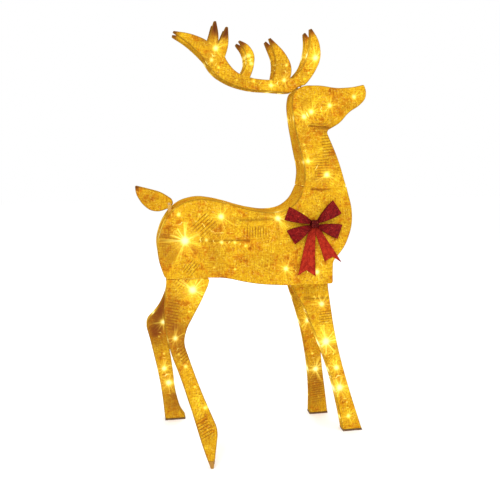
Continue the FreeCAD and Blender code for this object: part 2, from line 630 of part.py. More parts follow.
def build_bow():
    """Ribbon loops, knot and tails, drawn flat at y = 0 and laid against the leaning side of the chest."""
    lay = half_width(TORSO_SIDES, BOW_Z) + BOW_GAP
    (low, low_width), (high, high_width) = TORSO_SIDES
    lean = math.degrees(math.atan((low_width - high_width) / (high - low)))

    def place(shape):
        moved = shape.copy()
        moved.rotate(V(0, 0, BOW_Z), V(1, 0, 0), -lean)
        moved.translate(V(0, -lay, 0))
        return moved

    loops = [prism(corners, -BOW_DEPTH, 0) for corners in BOW_LOOPS]
    tails = [prism(corners, -RIBBON - 1, -1) for corners in BOW_TAILS]
    wide, high = KNOT_HALF_WIDTH, KNOT_HALF_HEIGHT
    knot = prism([(BOW_X + x * wide, BOW_Z + z * high) for x, z in ((-1, -1), (1, -1), (1, 1), (-1, 1))],
                 -BOW_DEPTH - 3, 0)
    wires = [rod(V(BOW_X + x, -8, BOW_Z), V(BOW_X + x, 8, BOW_Z), TIE_WIRE) for x in (-4, 4)]
    wires.append(rod(V(BOW_X - 4 - TIE_WIRE, 8, BOW_Z), V(BOW_X + 4 + TIE_WIRE, 8, BOW_Z), TIE_WIRE))
    openings = [rod(V(BOW_X + x, -8, BOW_Z), V(BOW_X + x, 8, BOW_Z), TIE_WIRE + 0.3) for x in (-4, 4)]
    knot = knot.cut(group(wires[:2]))
    parts = {"bow_loops": group(loops), "bow_tails": group(tails), "bow_knot": knot,
             "bow_tie_wire": fused(wires)}
    return {node: place(shape) for node, shape in parts.items()}, [place(opening) for opening in openings]


def build_power_inlet():
    """A cable gland in the rump: a flange below the cover, a neck through it and a nut above it."""
    under = UNDERSIDE["hind"]
    neck = rod(V(INLET_X, 0, under - 4), V(INLET_X, 0, INLET_TOP), INLET_RADIUS)
    flange = rod(V(INLET_X, 0, under - 4), V(INLET_X, 0, under - 0.2), INLET_RADIUS + 2.5)
    nut = rod(V(INLET_X, 0, under + COVER_WALL + 0.2), V(INLET_X, 0, INLET_TOP), INLET_RADIUS + 2)
    bore = rod(V(INLET_X, 0, under - 5), V(INLET_X, 0, INLET_TOP - 3), LEAD_RADIUS + 1.3)
    opening = rod(V(INLET_X, 0, under - 5), V(INLET_X, 0, under + 5), INLET_RADIUS + 0.3)
    return fused([neck, flange, nut]).cut(bore), opening


def build():
    """Every node, and the pivot and axis of each leg's pin."""
    nodes = {}
    pivots = {}
    torso_frame, torso_crowns = tapered_frame(TORSO_OUTLINE, TORSO_SIDES, BODY_WIRE)
    head_frame, head_crowns = tapered_frame(HEAD_OUTLINE, HEAD_SIDES, BODY_WIRE)
    torso_openings, head_openings = [], []
    torso_strings = {side: torso_string(side) for side in (NEAR, FAR)}
    head_strings = {side: head_string(side) for side in (NEAR, FAR)}
    torso_leads = {side: [torso_strings[side][0]] for side in (NEAR, FAR)}
    head_leads = {side: [head_strings[side][0]] for side in (NEAR, FAR)}

    # legs, and the tabs, pins and jumper leads that hold and feed them
    pins = {"hind": [], "front": []}
    for leg in LEGS:
        parts, held, pivots[leg["name"]] = build_leg(leg)
        nodes.update(parts)
        pair = leg["pair"]
        side = leg["side"]
        pins[pair].append(held["pin"])
        torso_frame.append(held["tab"])
        torso_openings += held["openings"]
        nodes[leg["name"] + "_jumper"] = held["jumper"]
        top = held["jumper_top"] + V(0, 0, JOINT_GAP)
        shift_x, feed_z = leg["feed"]
        joins = V(top.x + shift_x, side * (half_width(TORSO_SIDES, feed_z) - LEAD_DEPTH), feed_z)
        torso_leads[side].append(branch_lead([top, top + V(0, side * 2, 9), joins]))
    for pair, x in (("hind", HIND_PIVOT_X), ("front", FRONT_PIVOT_X)):
        nodes[pair + "_leg_pins"] = group(pins[pair])
        bar_z = UNDERSIDE[pair] + COVER_WALL + WIRE_GAP + BODY_WIRE + BAR_RISE
        reach = half_width(TORSO_SIDES, bar_z) - COVER_WALL - WIRE_GAP - BODY_WIRE
        torso_frame.append(across(x, bar_z, -reach, reach, BODY_WIRE))

    # neck joint
    low_bar = (V(torso_crowns[21].x, 0, torso_crowns[21].z), V(torso_crowns[1].x, 0, torso_crowns[1].z))
    high_bar = (V(torso_crowns[22].x, 0, torso_crowns[22].z), V(torso_crowns[0].x, 0, torso_crowns[0].z))
    head_bar = (V(head_crowns[0].x, 0, head_crowns[0].z), V(head_crowns[-1].x, 0, head_crowns[-1].z))
    bores = []
    tube_top = NECK_SPLIT - COVER_WALL - 0.5
    prong_foot = NECK_SPLIT + HEAD_GAP - NECK_PRONG_DEPTH - 3
    for x in NECK_PRONG_X:
        torso_frame.append(rod(V(x, 0, prong_foot - 3), V(x, 0, tube_top), NECK_PRONG + FIT + TUBE_WALL))
        bores.append(rod(V(x, 0, prong_foot - 5), V(x, 0, tube_top + 5), NECK_PRONG + FIT))
        head_frame.append(rod(V(x, 0, prong_foot), V(x, 0, head_bar[0].z + 3), NECK_PRONG))
        opening = rod(V(x, 0, tube_top - 2), V(x, 0, NECK_SPLIT + 10), NECK_PRONG + 0.6)
        torso_openings.append(opening)
        head_openings.append(opening)
    torso_frame += [rod(*low_bar, BODY_WIRE), rod(*high_bar, BODY_WIRE)]
    head_frame.append(rod(*head_bar, BODY_WIRE))
    nodes["neck_socket"], nodes["neck_plug"], opening = build_connector()
    torso_openings.append(opening)
    head_openings.append(opening)

    # antlers
    seats = []
    for name, side in (("near_antler", NEAR), ("far_antler", FAR)):
        nodes.update(build_antler(name, side))
        tube, socket, openings, feed = antler_seat(side)
        head_frame.append(tube)
        brow = head_crowns[BROW_TURN]
        strut_foot = V(ANTLER_PRONG_X, side * BROW_Y, brow.z - STRUT_RISE)
        strut_top = V(brow.x + 1, side * BROW_Y, brow.z + 0.5)
        head_frame.append(rod(strut_foot, strut_top, LEG_WIRE))
        head_openings += openings
        seats.append(socket)
        corner = head_strings[side][2][ANTLER_FEED_TURN]
        head_leads[side].append(branch_lead([corner, V(corner.x, corner.y, corner.z + 18),
                                             feed - V(0, side * -2, 16), feed - V(0, 0, JOINT_GAP)]))
    nodes["antler_sockets"] = group(seats)

    tail_parts, nodes["tail_pin"], lugs, slots = build_tail()
    nodes.update(tail_parts)
    torso_frame += lugs
    torso_openings += slots
    nodes["power_inlet"], opening = build_power_inlet()
    torso_openings.append(opening)
    bow_parts, openings = build_bow()
    nodes.update(bow_parts)
    torso_openings += openings

    nodes["torso_frame"] = fused(torso_frame).cut(group(bores))
    nodes["head_frame"] = fused(head_frame).cut(group(antler_bores()))
    nodes["torso_cover"] = tapered_cover(TORSO_OUTLINE, TORSO_SIDES).cut(torso_openings)
    nodes["head_cover"] = tapered_cover(HEAD_OUTLINE, HEAD_SIDES).cut(head_openings)
    for body, strings, leads in (("torso", torso_strings, torso_leads), ("head", head_strings, head_leads)):
        nodes[body + "_light_lead"] = group([fused(leads[side]) for side in (NEAR, FAR)])
        nodes[body + "_bulbs"] = group([light for side in (NEAR, FAR) for light in strings[side][1]])
        ties = [tie for side in (NEAR, FAR) for tie in lead_ties(strings[side][2], side)]
        nodes[body + "_lead_ties"] = group(ties)
    return nodes, pivots


def antler_bores():
    """The bores that the antlers' prongs slide in."""
    bores = []
    for side in (NEAR, FAR):
        root, place = antler_placer(side)
        foot = V(ANTLER_PRONG_X, 0, root.z)
        bores.append(place(rod(foot - V(0, 0, 2), foot + V(0, 0, 60), ANTLER_PRONG + FIT)))
    return bores


def build_connector():
    """The round plug under the neck, the socket it enters, and the opening through both covers."""
    top = NECK_SPLIT - COVER_WALL - 0.2
    foot = NECK_SPLIT + HEAD_GAP + COVER_WALL + 0.2

    def upright(low, high, radius):
        return rod(V(CONNECTOR_X, CONNECTOR_Y, low), V(CONNECTOR_X, CONNECTOR_Y, high), radius)

    socket = upright(SOCKET_FOOT, top, CONNECTOR_PLUG + 3)
    socket = socket.cut(upright(top - 14, top + 1, CONNECTOR_PLUG + FIT))
    spigot = upright(top - 13, foot + 1, CONNECTOR_PLUG)
    body = upright(foot, PLUG_TOP, CONNECTOR_PLUG + 3)
    opening = upright(top - 1, foot + 1, CONNECTOR_PLUG + 0.6)
    return socket, spigot.fuse(body), opening


def centred(nodes):
    """The move that puts the origin at the middle of the footprint, on the ground."""
    box = group(list(nodes.values())).optimalBoundingBox(False)
    return V(-(box.XMin + box.XMax) / 2, -(box.YMin + box.YMax) / 2, -box.ZMin)


def main():
    os.makedirs("parts", exist_ok=True)
    nodes, pivots = build()
    shift = centred(nodes)
    for name, shape in sorted(nodes.items()):
        shape.translate(shift)
        shape.exportStep("parts/" + name + ".step")
        solids = shape.Solids
        state = "valid" if shape.isValid() else "INVALID"
        print(name, len(solids), "solids", round(shape.Volume / 1000, 2), "cm3", state)
    print("origin moved by", shift)


if __name__ == "__main__":
    main()
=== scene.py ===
import bmesh
import bpy
import math
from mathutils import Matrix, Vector, geometry, kdtree, noise


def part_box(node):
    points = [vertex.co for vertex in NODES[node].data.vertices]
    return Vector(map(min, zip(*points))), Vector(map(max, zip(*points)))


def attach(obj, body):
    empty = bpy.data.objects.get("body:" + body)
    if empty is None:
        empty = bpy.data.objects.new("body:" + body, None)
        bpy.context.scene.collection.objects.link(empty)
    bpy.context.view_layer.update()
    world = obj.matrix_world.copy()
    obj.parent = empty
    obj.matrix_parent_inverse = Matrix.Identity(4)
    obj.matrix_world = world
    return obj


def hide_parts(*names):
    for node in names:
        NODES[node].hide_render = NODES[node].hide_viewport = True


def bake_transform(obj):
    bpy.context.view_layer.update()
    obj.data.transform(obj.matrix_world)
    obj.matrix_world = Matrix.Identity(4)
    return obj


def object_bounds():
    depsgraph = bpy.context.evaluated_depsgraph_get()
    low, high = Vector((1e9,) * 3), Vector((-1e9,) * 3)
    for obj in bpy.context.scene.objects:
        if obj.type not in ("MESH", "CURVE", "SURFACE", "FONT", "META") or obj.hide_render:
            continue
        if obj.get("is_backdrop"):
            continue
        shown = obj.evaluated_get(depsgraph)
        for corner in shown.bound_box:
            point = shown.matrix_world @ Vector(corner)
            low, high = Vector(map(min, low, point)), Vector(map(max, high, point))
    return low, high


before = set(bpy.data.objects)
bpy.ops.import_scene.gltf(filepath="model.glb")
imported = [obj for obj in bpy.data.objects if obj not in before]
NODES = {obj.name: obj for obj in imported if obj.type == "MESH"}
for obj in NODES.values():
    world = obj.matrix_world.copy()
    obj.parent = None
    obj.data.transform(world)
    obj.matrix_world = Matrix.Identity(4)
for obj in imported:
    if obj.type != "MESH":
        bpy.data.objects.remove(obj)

CAD_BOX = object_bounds()

# Sizes in metres
SKIN = 0.0008              # thickness of the mesh fabric
TRIANGLE = 0.0065          # spacing of the points on a cover
RIM = 0.0042               # radius of the fabric where it wraps an outline wire
RINGS = (0.0011, 0.0026, 0.0042, 0.0075)    # depths of the rings of points inside an outline
WIRE_REACH = 0.0045        # how far from an outline wire the fabric is darker: the wire seen through it, and painted shade on the rounded rim
SLACK = 0.0008             # how far the fabric lies below its side plane
SLACK_REACH = 0.03         # distance from the outline at which it has sunk that far
SEAM_HALF = 0.005          # half the width of a sewn seam
BAND_ROWS = 9              # rows of points across a cover's edge, from side to side
BAND_SAG = 0.0010          # how far the edge band pulls in between its two wires
BAND_SHADE = 0.25          # painted shade: how much darker the band is painted than the sides

NECK_SEAM = 0.828          # height of the joint in the neck
HIND_BELLY = 0.552         # height of the torso's underside over the hind legs
FRONT_BELLY = 0.519        # and over the front legs
SEAM_EXTRA = 0.00092       # how much further the cloth reaches at the neck joint than the CAD cover
LEG_EXTRA = 0.0028         # and at the top of a leg

RIBBON_WIDTH = 0.045
RIBBON_THICKNESS = 0.0006
RIBBON_WIRE = 0.0030       # width of the ribbon's wired edge
RIBBON_COLUMNS = 15        # points across a ribbon
LOOP_FRONT, LOOP_FOLD, LOOP_BACK = 18, 8, 14    # rows of a bow loop: its front, its fold and its back
TAIL_ROWS = 24
KNOT_STEPS = 32
LEAD_RADIUS = 0.0012
LEAD_STEPS, LEAD_SIDES = 16, 14

# The bow's ribbons, in millimetres from the knot: the ends at the knot, then the outer ends
BOW_LOOPS = [
    [(-10, 11), (-10, -1), (-77, 54), (-93, 13)],
    [(10, 11), (10, 0), (62, 72), (90, 30)],
    [(-10, -3), (-10, -12), (-86, -19), (-60, -62)],
    [(10, -3), (10, -12), (92, -4), (76, -49)]]
BOW_TAILS = [
    [(-13, -6), (5, -6), (-55, -163), (-27, -147), (4, -168)],
    [(-2, -6), (15, -6), (35, -122), (62, -107), (92, -127)]]

# Colours, linear
GOLD = (0.560, 0.300, 0.009)
GOLD_PALE = (0.720, 0.480, 0.020)
GOLD_ORANGE = (0.500, 0.180, 0.006)
GOLD_DEEP = (0.300, 0.090, 0.004)
BROWN = (0.130, 0.036, 0.005)
TIP_BROWN = (0.085, 0.020, 0.008)
# glitter specks painted pale: painted glints
GLITTER_GLINT = (0.90, 0.66, 0.16)
# the wire seen through the fabric, and painted shade on the rounded rim of a cover
RIM_SHADE = (0.200, 0.100, 0.010)
BURGUNDY = ((0.110, 0.003, 0.005), (0.270, 0.010, 0.009))
DARK_RED = ((0.050, 0.002, 0.003), (0.140, 0.006, 0.007))
SCARLET = ((0.270, 0.011, 0.006), (0.500, 0.034, 0.012))
# bright red glitter specks: painted glints on the ribbon
RIBBON_GLITTER_GLINT = (0.75, 0.07, 0.04, 1)

# The brightest bulbs of each cover, as (x, z, level) in metres; the other bulbs are dim
BRIGHT = {
    "torso": [(-0.242, 0.758, 0.50), (-0.109, 0.740, 0.95), (0.071, 0.728, 0.90), (-0.224, 0.666, 1.40),
              (-0.156, 0.668, 0.40), (-0.109, 0.663, 0.50), (-0.067, 0.657, 0.35), (-0.006, 0.640, 0.85),
              (0.095, 0.571, 0.75), (0.141, 0.775, 1.10), (0.200, 0.553, 0.75)],
    "head": [(0.322, 1.108, 0.60), (0.242, 1.083, 0.65), (0.181, 1.054, 0.80), (0.146, 1.049, 0.35),
             (0.155, 0.910, 0.65), (0.239, 0.856, 0.90)],
    "antler": [(-0.116, 1.246, 0.80), (-0.130, 1.208, 0.50), (-0.014, 1.226, 0.50), (0.056, 1.138, 0.60),
               (0.097, 1.168, 0.55), (0.150, 1.150, 1.25), (0.196, 1.224, 0.95), (0.108, 1.204, 0.35)],
    "near_hind_leg": [(-0.204, 0.510, 1.30), (-0.262, 0.374, 0.70), (-0.228, 0.296, 0.45),
                      (-0.176, 0.172, 0.40)],
    "far_hind_leg": [(-0.290, 0.350, 0.80), (-0.296, 0.215, 0.90), (-0.276, 0.150, 1.10)],
    "near_front_leg": [(0.230, 0.444, 0.90), (0.240, 0.312, 1.40), (0.280, 0.226, 0.90), (0.288, 0.150, 1.20),
                       (0.318, 0.052, 0.60)],
    "far_front_leg": [(0.186, 0.461, 0.70), (0.198, 0.390, 0.90), (0.230, 0.172, 1.00)],
}
DIM = (0.08, 0.30)         # the range of the dim bulbs' levels
MATCH = 0.026              # how near a bulb has to be to a bright place to take its level


# ---------------------------------------------------------------- shader helpers

class Shader:
    """A material under construction: short names for adding nodes and joining them."""

    def __init__(self, name):
        self.material = bpy.data.materials.new(name)
        self.material.use_nodes = True
        self.tree = self.material.node_tree
        self.tree.nodes.clear()
        self.output = self.tree.nodes.new("ShaderNodeOutputMaterial")

    def node(self, kind, **settings):
        made = self.tree.nodes.new("ShaderNode" + kind)
        for key, value in settings.items():
            setattr(made, key, value)
        return made

    def set(self, socket, value):
        if hasattr(value, "is_output"):
            self.tree.links.new(value, socket)
        elif value is not None:
            socket.default_value = value

    def math(self, operation, first, second=None, third=None, clamp=False):
        made = self.node("Math", operation=operation, use_clamp=clamp)
        for socket, value in zip(made.inputs, (first, second, third)):
            self.set(socket, value)
        return made.outputs[0]

    def mix(self, share, first, second, blend="MIX"):
        made = self.node("Mix", data_type="RGBA", blend_type=blend, clamp_factor=True)
        self.set(made.inputs[0], share)
        self.set(made.inputs[6], first)
        self.set(made.inputs[7], second)
        return made.outputs[2]

    def ramp(self, value, *stops):
        made = self.node("ValToRGB")
        points = made.color_ramp.elements
        while len(points) < len(stops):
            points.new(0.5)
        for point, (place, shade) in zip(points, stops):
            point.position = place
            point.color = shade if len(shade) == 4 else (*shade, 1)
        self.set(made.inputs[0], value)
        return made.outputs[0]

    def step(self, value, low, high, start=0.0, end=1.0):
        made = self.node("MapRange", interpolation_type="SMOOTHSTEP")
        for socket, setting in zip(made.inputs, (value, low, high, start, end)):
            self.set(socket, setting)
        return made.outputs[0]

    def noise(self, place, scale, detail=2.0, rough=0.5):
        made = self.node("TexNoise")
        self.set(made.inputs["Vector"], place)
        made.inputs["Scale"].default_value = scale
        made.inputs["Detail"].default_value = detail
        made.inputs["Roughness"].default_value = rough
        return made.outputs[0]

    def cells(self, place, scale, feature="F1"):
        made = self.node("TexVoronoi", feature=feature)
        self.set(made.inputs["Vector"], place)
        made.inputs["Scale"].default_value = scale
        return made

    def attribute(self, name):
        return self.node("Attribute", attribute_name=name)

    def split(self, vector):
        made = self.node("SeparateXYZ")
        self.set(made.inputs[0], vector)
        return made.outputs

    def vector(self, x, y, z=0.0):
        made = self.node("CombineXYZ")
        for socket, value in zip(made.inputs, (x, y, z)):
            self.set(socket, value)
        return made.outputs[0]

    def bump(self, height, strength, distance):
        made = self.node("Bump")
        made.inputs["Strength"].default_value = strength
        made.inputs["Distance"].default_value = distance
        self.set(made.inputs["Height"], height)
        return made.outputs[0]

    def surface(self, **sockets):
        made = self.node("BsdfPrincipled")
        for name, value in sockets.items():
            self.set(made.inputs[name.replace("_", " ")], value)
        self.tree.links.new(made.outputs[0], self.output.inputs[0])
        return made


def rgba(shade, gain=1.0):
    return (shade[0] * gain, shade[1] * gain, shade[2] * gain, 1)


def use(obj, material):
    """Gives every slot of a piece or a CAD node the same material."""
    if not obj.material_slots:
        obj.data.materials.append(material)
    for entry in obj.material_slots:
        entry.material = material


# ---------------------------------------------------------------- materials

def thread_lines(s, u, v, angle, pitch, wobble):
    """Fine parallel threads: 0 between them and 1 along them, in a direction that angle turns."""
    sideways = s.math("MULTIPLY", u, s.math("COSINE", angle))
    along = s.math("ADD", sideways, s.math("MULTIPLY", v, s.math("SINE", angle)))
    bent = s.math("ADD", s.math("MULTIPLY", along, 2 * math.pi / pitch), s.math("MULTIPLY", wobble, 3.0))
    return s.math("MULTIPLY_ADD", s.math("SINE", bent), 0.5, 0.5)


def gold_fabric(name):
    """Gold tinsel mesh lit from behind.

    Attributes of the mesh give the cloth's own coordinates, the way to the nearest bulb and its level, how
    near an edge is, how dark a place is, and patches of long dark stitches."""
    s = Shader(name)
    cloth = s.attribute("cloth").outputs["Vector"]
    u, v, _ = s.split(cloth)
    edge, shade, seam = s.split(s.attribute("zones").outputs["Vector"])
    phase, amount, _ = s.split(s.attribute("stitches").outputs["Vector"])
    across, up, seed = s.split(s.attribute("to_bulb").outputs["Vector"])
    strength = s.attribute("lit").outputs["Fac"]

    # clouds, and patches of threads that run in different directions
    broad = s.noise(cloth, 13.0, 3.0, 0.55)
    cloud = s.noise(cloth, 42.0, 3.0, 0.65)
    fine = s.noise(cloth, 170.0, 2.0, 0.6)
    stretched = s.noise(s.vector(s.math("MULTIPLY", u, 260.0), s.math("MULTIPLY", v, 45.0)), 1.0, 2.0, 0.6)
    patch = s.cells(cloth, 17.0)
    turn, style, _ = s.split(patch.outputs["Color"])
    angle = s.math("MULTIPLY", turn, math.pi)
    wobble = s.noise(cloth, 24.0, 1.0)
    coarse = thread_lines(s, u, v, angle, 0.0080, wobble)
    close = thread_lines(s, u, v, s.math("ADD", angle, 1.35), 0.0050, wobble)
    weft = s.noise(s.vector(s.math("MULTIPLY", u, 48.0), s.math("MULTIPLY", v, 290.0)), 1.0, 2.0, 0.6)
    strokes = s.math("MULTIPLY", s.step(coarse, 0.62, 0.95), s.step(cloud, 0.47, 0.60))
    hatch = s.math("MULTIPLY", s.step(close, 0.55, 0.95), s.step(style, 0.30, 0.60))

    # the glow of the nearest bulb, with fine rays along the threads around it
    reach = s.math("SQRT", s.math("ADD", s.math("MULTIPLY", across, across), s.math("MULTIPLY", up, up)))
    safe = s.math("MAXIMUM", reach, 0.0005)
    ring = s.vector(s.math("DIVIDE", across, safe), s.math("DIVIDE", up, safe), seed)
    rays = s.noise(ring, 3.4, 2.0, 0.70)
    spread = s.math("DIVIDE", reach, s.math("MULTIPLY_ADD", strength, 0.75, 0.35))
    squared = s.math("POWER", s.math("DIVIDE", spread, 0.0068), 2.0)
    core = s.math("EXPONENT", s.math("MULTIPLY", squared, -1.0))
    halo = s.math("EXPONENT", s.math("DIVIDE", spread, -0.0210))
    ray_fade = s.math("EXPONENT", s.math("DIVIDE", spread, -0.0260))
    streak = s.math("MULTIPLY", s.step(rays, 0.52, 0.68), ray_fade)
    dark_fade = s.math("EXPONENT", s.math("DIVIDE", spread, -0.045))
    dark_ray = s.math("MULTIPLY", s.step(rays, 0.47, 0.36), dark_fade)

    # colour
    tone = s.math("ADD", s.math("MULTIPLY", cloud, 0.75), s.math("MULTIPLY", broad, 0.55))
    base = s.ramp(tone, (0.45, GOLD_DEEP), (0.55, GOLD_ORANGE), (0.63, GOLD), (0.71, GOLD), (0.82, GOLD_PALE))
    base = s.mix(s.math("MULTIPLY", s.step(stretched, 0.52, 0.68), 0.42), base, rgba(GOLD_DEEP))
    base = s.mix(s.math("MULTIPLY", s.step(stretched, 0.46, 0.34), 0.45), base, rgba(GOLD_PALE))
    base = s.mix(s.math("MULTIPLY", s.step(weft, 0.53, 0.68), 0.40), base, rgba(GOLD_DEEP))
    base = s.mix(s.math("MULTIPLY", s.step(weft, 0.46, 0.34), 0.35), base, rgba(GOLD_PALE))
    base = s.mix(s.math("MULTIPLY", hatch, 0.20), base, rgba(GOLD_DEEP))
    base = s.mix(s.math("MULTIPLY", strokes, 0.40), base, rgba(BROWN, 2.0))
    grain = s.cells(cloth, 300.0)
    speck, spark, _ = s.split(grain.outputs["Color"])
    base = s.mix(s.math("MULTIPLY", s.step(speck, 0.76, 0.98), 0.50), base, rgba(GOLD_DEEP, 0.8))
    # painted glints: glitter specks painted paler than the gold
    base = s.mix(s.math("MULTIPLY", s.step(spark, 0.86, 0.99), 0.20), base, rgba(GLITTER_GLINT))
    # painted shade: darker rays between the bright rays round each bulb
    base = s.mix(s.math("MULTIPLY", dark_ray, 0.55), base, rgba(BROWN, 1.6))
    stitch = s.math("MULTIPLY_ADD", s.math("SINE", s.math("MULTIPLY", phase, 2 * math.pi)), 0.5, 0.5)
    stitch = s.math("MULTIPLY", s.step(stitch, 0.60, 0.92), s.step(amount, 0.15, 0.75))
    base = s.mix(s.math("MULTIPLY", stitch, 0.62), base, rgba(BROWN, 1.1))
    # painted shade where the zones attribute marks a place darker, and the brown of the dark tips
    base = s.mix(s.math("MULTIPLY", shade, s.math("MULTIPLY_ADD", cloud, 1.5, 0.05)), base, rgba(BROWN, 1.5))
    base = s.mix(s.math("MULTIPLY", s.step(shade, 0.9, 1.7), 0.85), base, rgba(TIP_BROWN))
    base = s.mix(s.math("MULTIPLY", seam, 0.8), base, rgba(BROWN, 0.9))
    # the outline wire seen through the fabric, and painted shade on the rounded rim
    rim = s.step(edge, 0.0, 1.0)
    base = s.mix(s.math("MULTIPLY", rim, 0.70), base, rgba(RIM_SHADE))

    # light through the mesh
    soft = s.math("ADD", s.math("MULTIPLY", halo, 0.42), s.math("MULTIPLY", streak, 0.85))
    given = s.math("MULTIPLY", strength, s.math("ADD", s.math("MULTIPLY", core, 2.4), soft))
    lit = s.math("SUBTRACT", 1.0, s.math("EXPONENT", s.math("MULTIPLY", given, -1.0)))
    warm = s.ramp(lit, (0.0, (1.0, 0.60, 0.03)), (0.35, (1.0, 0.80, 0.09)), (0.75, (1.0, 0.92, 0.32)),
                  (1.0, (1.0, 0.96, 0.56)))
    through = s.math("MULTIPLY_ADD", cloud, 0.35, 0.02)
    glow = s.math("MULTIPLY", lit, s.math("MULTIPLY_ADD", rim, -0.6, 1.0))
    shine = s.mix(s.step(lit, 0.03, 0.30), base, warm)
    threads = s.math("ADD", s.math("MULTIPLY", stretched, 0.8), fine)
    height = s.math("ADD", s.math("MULTIPLY", weft, 0.8), threads)
    made = s.surface(Base_Color=base, Roughness=s.math("MULTIPLY_ADD", spark, -0.25, 0.70),
                     Normal=s.bump(height, 0.5, 0.0012), Emission_Color=shine,
                     Emission_Strength=s.math("ADD", glow, through))
    made.inputs["Metallic"].default_value = 0.08
    made.inputs["Specular IOR Level"].default_value = 0.0
    made.inputs["Specular Tint"].default_value = (1.0, 0.72, 0.25, 1)
    return s.material


def ribbon_fabric(name, deep, bright):
    """Ribbon with a close twill, glitter with painted glints, painted shade where it is pinched, and a wired
    edge that the zones attribute marks.
    """
    s = Shader(name)
    cloth = s.attribute("cloth").outputs["Vector"]
    u, v, _ = s.split(cloth)
    # fold carries the painted shade where the ribbon is gathered and pinched
    edge, fold, _ = s.split(s.attribute("zones").outputs["Vector"])
    cloud = s.noise(cloth, 60.0, 3.0, 0.6)
    slant = s.math("MULTIPLY", s.math("ADD", u, v), 2 * math.pi / 0.0022)
    twill = s.math("MULTIPLY_ADD", s.math("SINE", slant), 0.5, 0.5)
    grain = s.cells(cloth, 700.0)
    speck, glint, _ = s.split(grain.outputs["Color"])
    base = s.mix(s.step(cloud, 0.35, 0.7), rgba(deep), rgba(bright))
    base = s.mix(s.math("MULTIPLY", twill, 0.25), base, rgba(deep, 0.6))
    base = s.mix(s.math("MULTIPLY", s.step(speck, 0.7, 0.95), 0.5), base, rgba(deep, 0.5))
    # painted glints: glitter specks painted bright red
    base = s.mix(s.math("MULTIPLY", s.step(glint, 0.93, 0.99), 0.6), base, RIBBON_GLITTER_GLINT)
    # painted shade where the ribbon is gathered and pinched near the knot
    base = s.mix(s.math("MULTIPLY", fold, 0.6), base, rgba(deep, 0.35))
    base = s.mix(s.math("MULTIPLY", edge, 0.55), base, rgba(deep, 0.55))
    grainy = s.math("ADD", speck, s.math("MULTIPLY", edge, 1.5))
    height = s.math("ADD", s.math("MULTIPLY", twill, 0.6), grainy)
    made = s.surface(Base_Color=base, Roughness=s.math("MULTIPLY_ADD", glint, -0.3, 0.62),
                     Normal=s.bump(height, 0.5, 0.0005))
    made.inputs["Sheen Weight"].default_value = 0.06
    made.inputs["Sheen Roughness"].default_value = 0.35
    made.inputs["Sheen Tint"].default_value = (1.0, 0.12, 0.06, 1)
    made.inputs["Specular IOR Level"].default_value = 0.12
    made.inputs["Specular Tint"].default_value = (1.0, 0.35, 0.25, 1)
    return s.material


def metal(name, shade, rough, worn, scale=220.0):
    """Drawn or painted wire: fine streaks, and scuffs in a second colour."""
    s = Shader(name)
    place = s.node("TexCoord").outputs["Object"]
    cloud = s.noise(place, 70.0, 3.0, 0.6)
    streak = s.noise(place, scale, 4.0, 0.65)
    base = s.mix(s.step(cloud, 0.55, 0.75), rgba(shade), rgba(worn))
    base = s.mix(s.math("MULTIPLY", s.step(streak, 0.55, 0.8), 0.4), base, rgba(worn, 0.7))
    made = s.surface(Base_Color=base, Roughness=s.math("MULTIPLY_ADD", streak, 0.25, rough),
                     Normal=s.bump(streak, 0.25, 0.0003))
    made.inputs["Metallic"].default_value = 0.85
    return s.material


def moulded(name, shade, rough, mottle=0.25, scale=90.0, glossy=0.5):
    """Moulded plastic or rubber with a fine grain and a little dust."""
    s = Shader(name)
    place = s.node("TexCoord").outputs["Object"]
    cloud = s.noise(place, scale, 3.0, 0.6)
    grain = s.noise(place, scale * 12, 2.0, 0.5)
    base = s.mix(s.math("MULTIPLY", s.step(cloud, 0.4, 0.75), mottle), rgba(shade), rgba((0.6, 0.5, 0.36)))
    made = s.surface(Base_Color=base, Roughness=s.math("MULTIPLY_ADD", cloud, 0.2, rough),
                     Normal=s.bump(grain, 0.3, 0.0002))
    made.inputs["Specular IOR Level"].default_value = glossy
    return s.material


def glass_bulb(name):
    """A warm light with a clear coat: paler where it faces the eye and orange at its sides."""
    s = Shader(name)
    facing = s.node("LayerWeight").outputs["Facing"]
    place = s.node("TexCoord").outputs["Object"]
    cloud = s.noise(place, 500.0, 2.0, 0.5)
    shade = s.mix(facing, (1.0, 0.90, 0.58, 1), (1.0, 0.62, 0.16, 1))
    strength = s.math("MULTIPLY_ADD", cloud, 2.0, 5.0)
    made = s.surface(Base_Color=rgba((1.0, 0.8, 0.45)), Roughness=s.math("MULTIPLY_ADD", cloud, 0.1, 0.08),
                     Emission_Color=shade, Emission_Strength=strength)
    made.inputs["Coat Weight"].default_value = 0.5
    return s.material


# ---------------------------------------------------------------- reading the frame

def middle_of(points):
    return sum(points, Vector()) / len(points)


def welded(node):
    """A CAD node's mesh with its faces joined at their shared edges."""
    made = bmesh.new()
    made.from_mesh(NODES[node].data)
    made.transform(NODES[node].matrix_world)
    bmesh.ops.remove_doubles(made, verts=made.verts, dist=1e-6)
    made.verts.index_update()
    made.normal_update()
    return made


def length_of(points):
    return sum((a - b).length for a, b in zip(points, points[1:]))


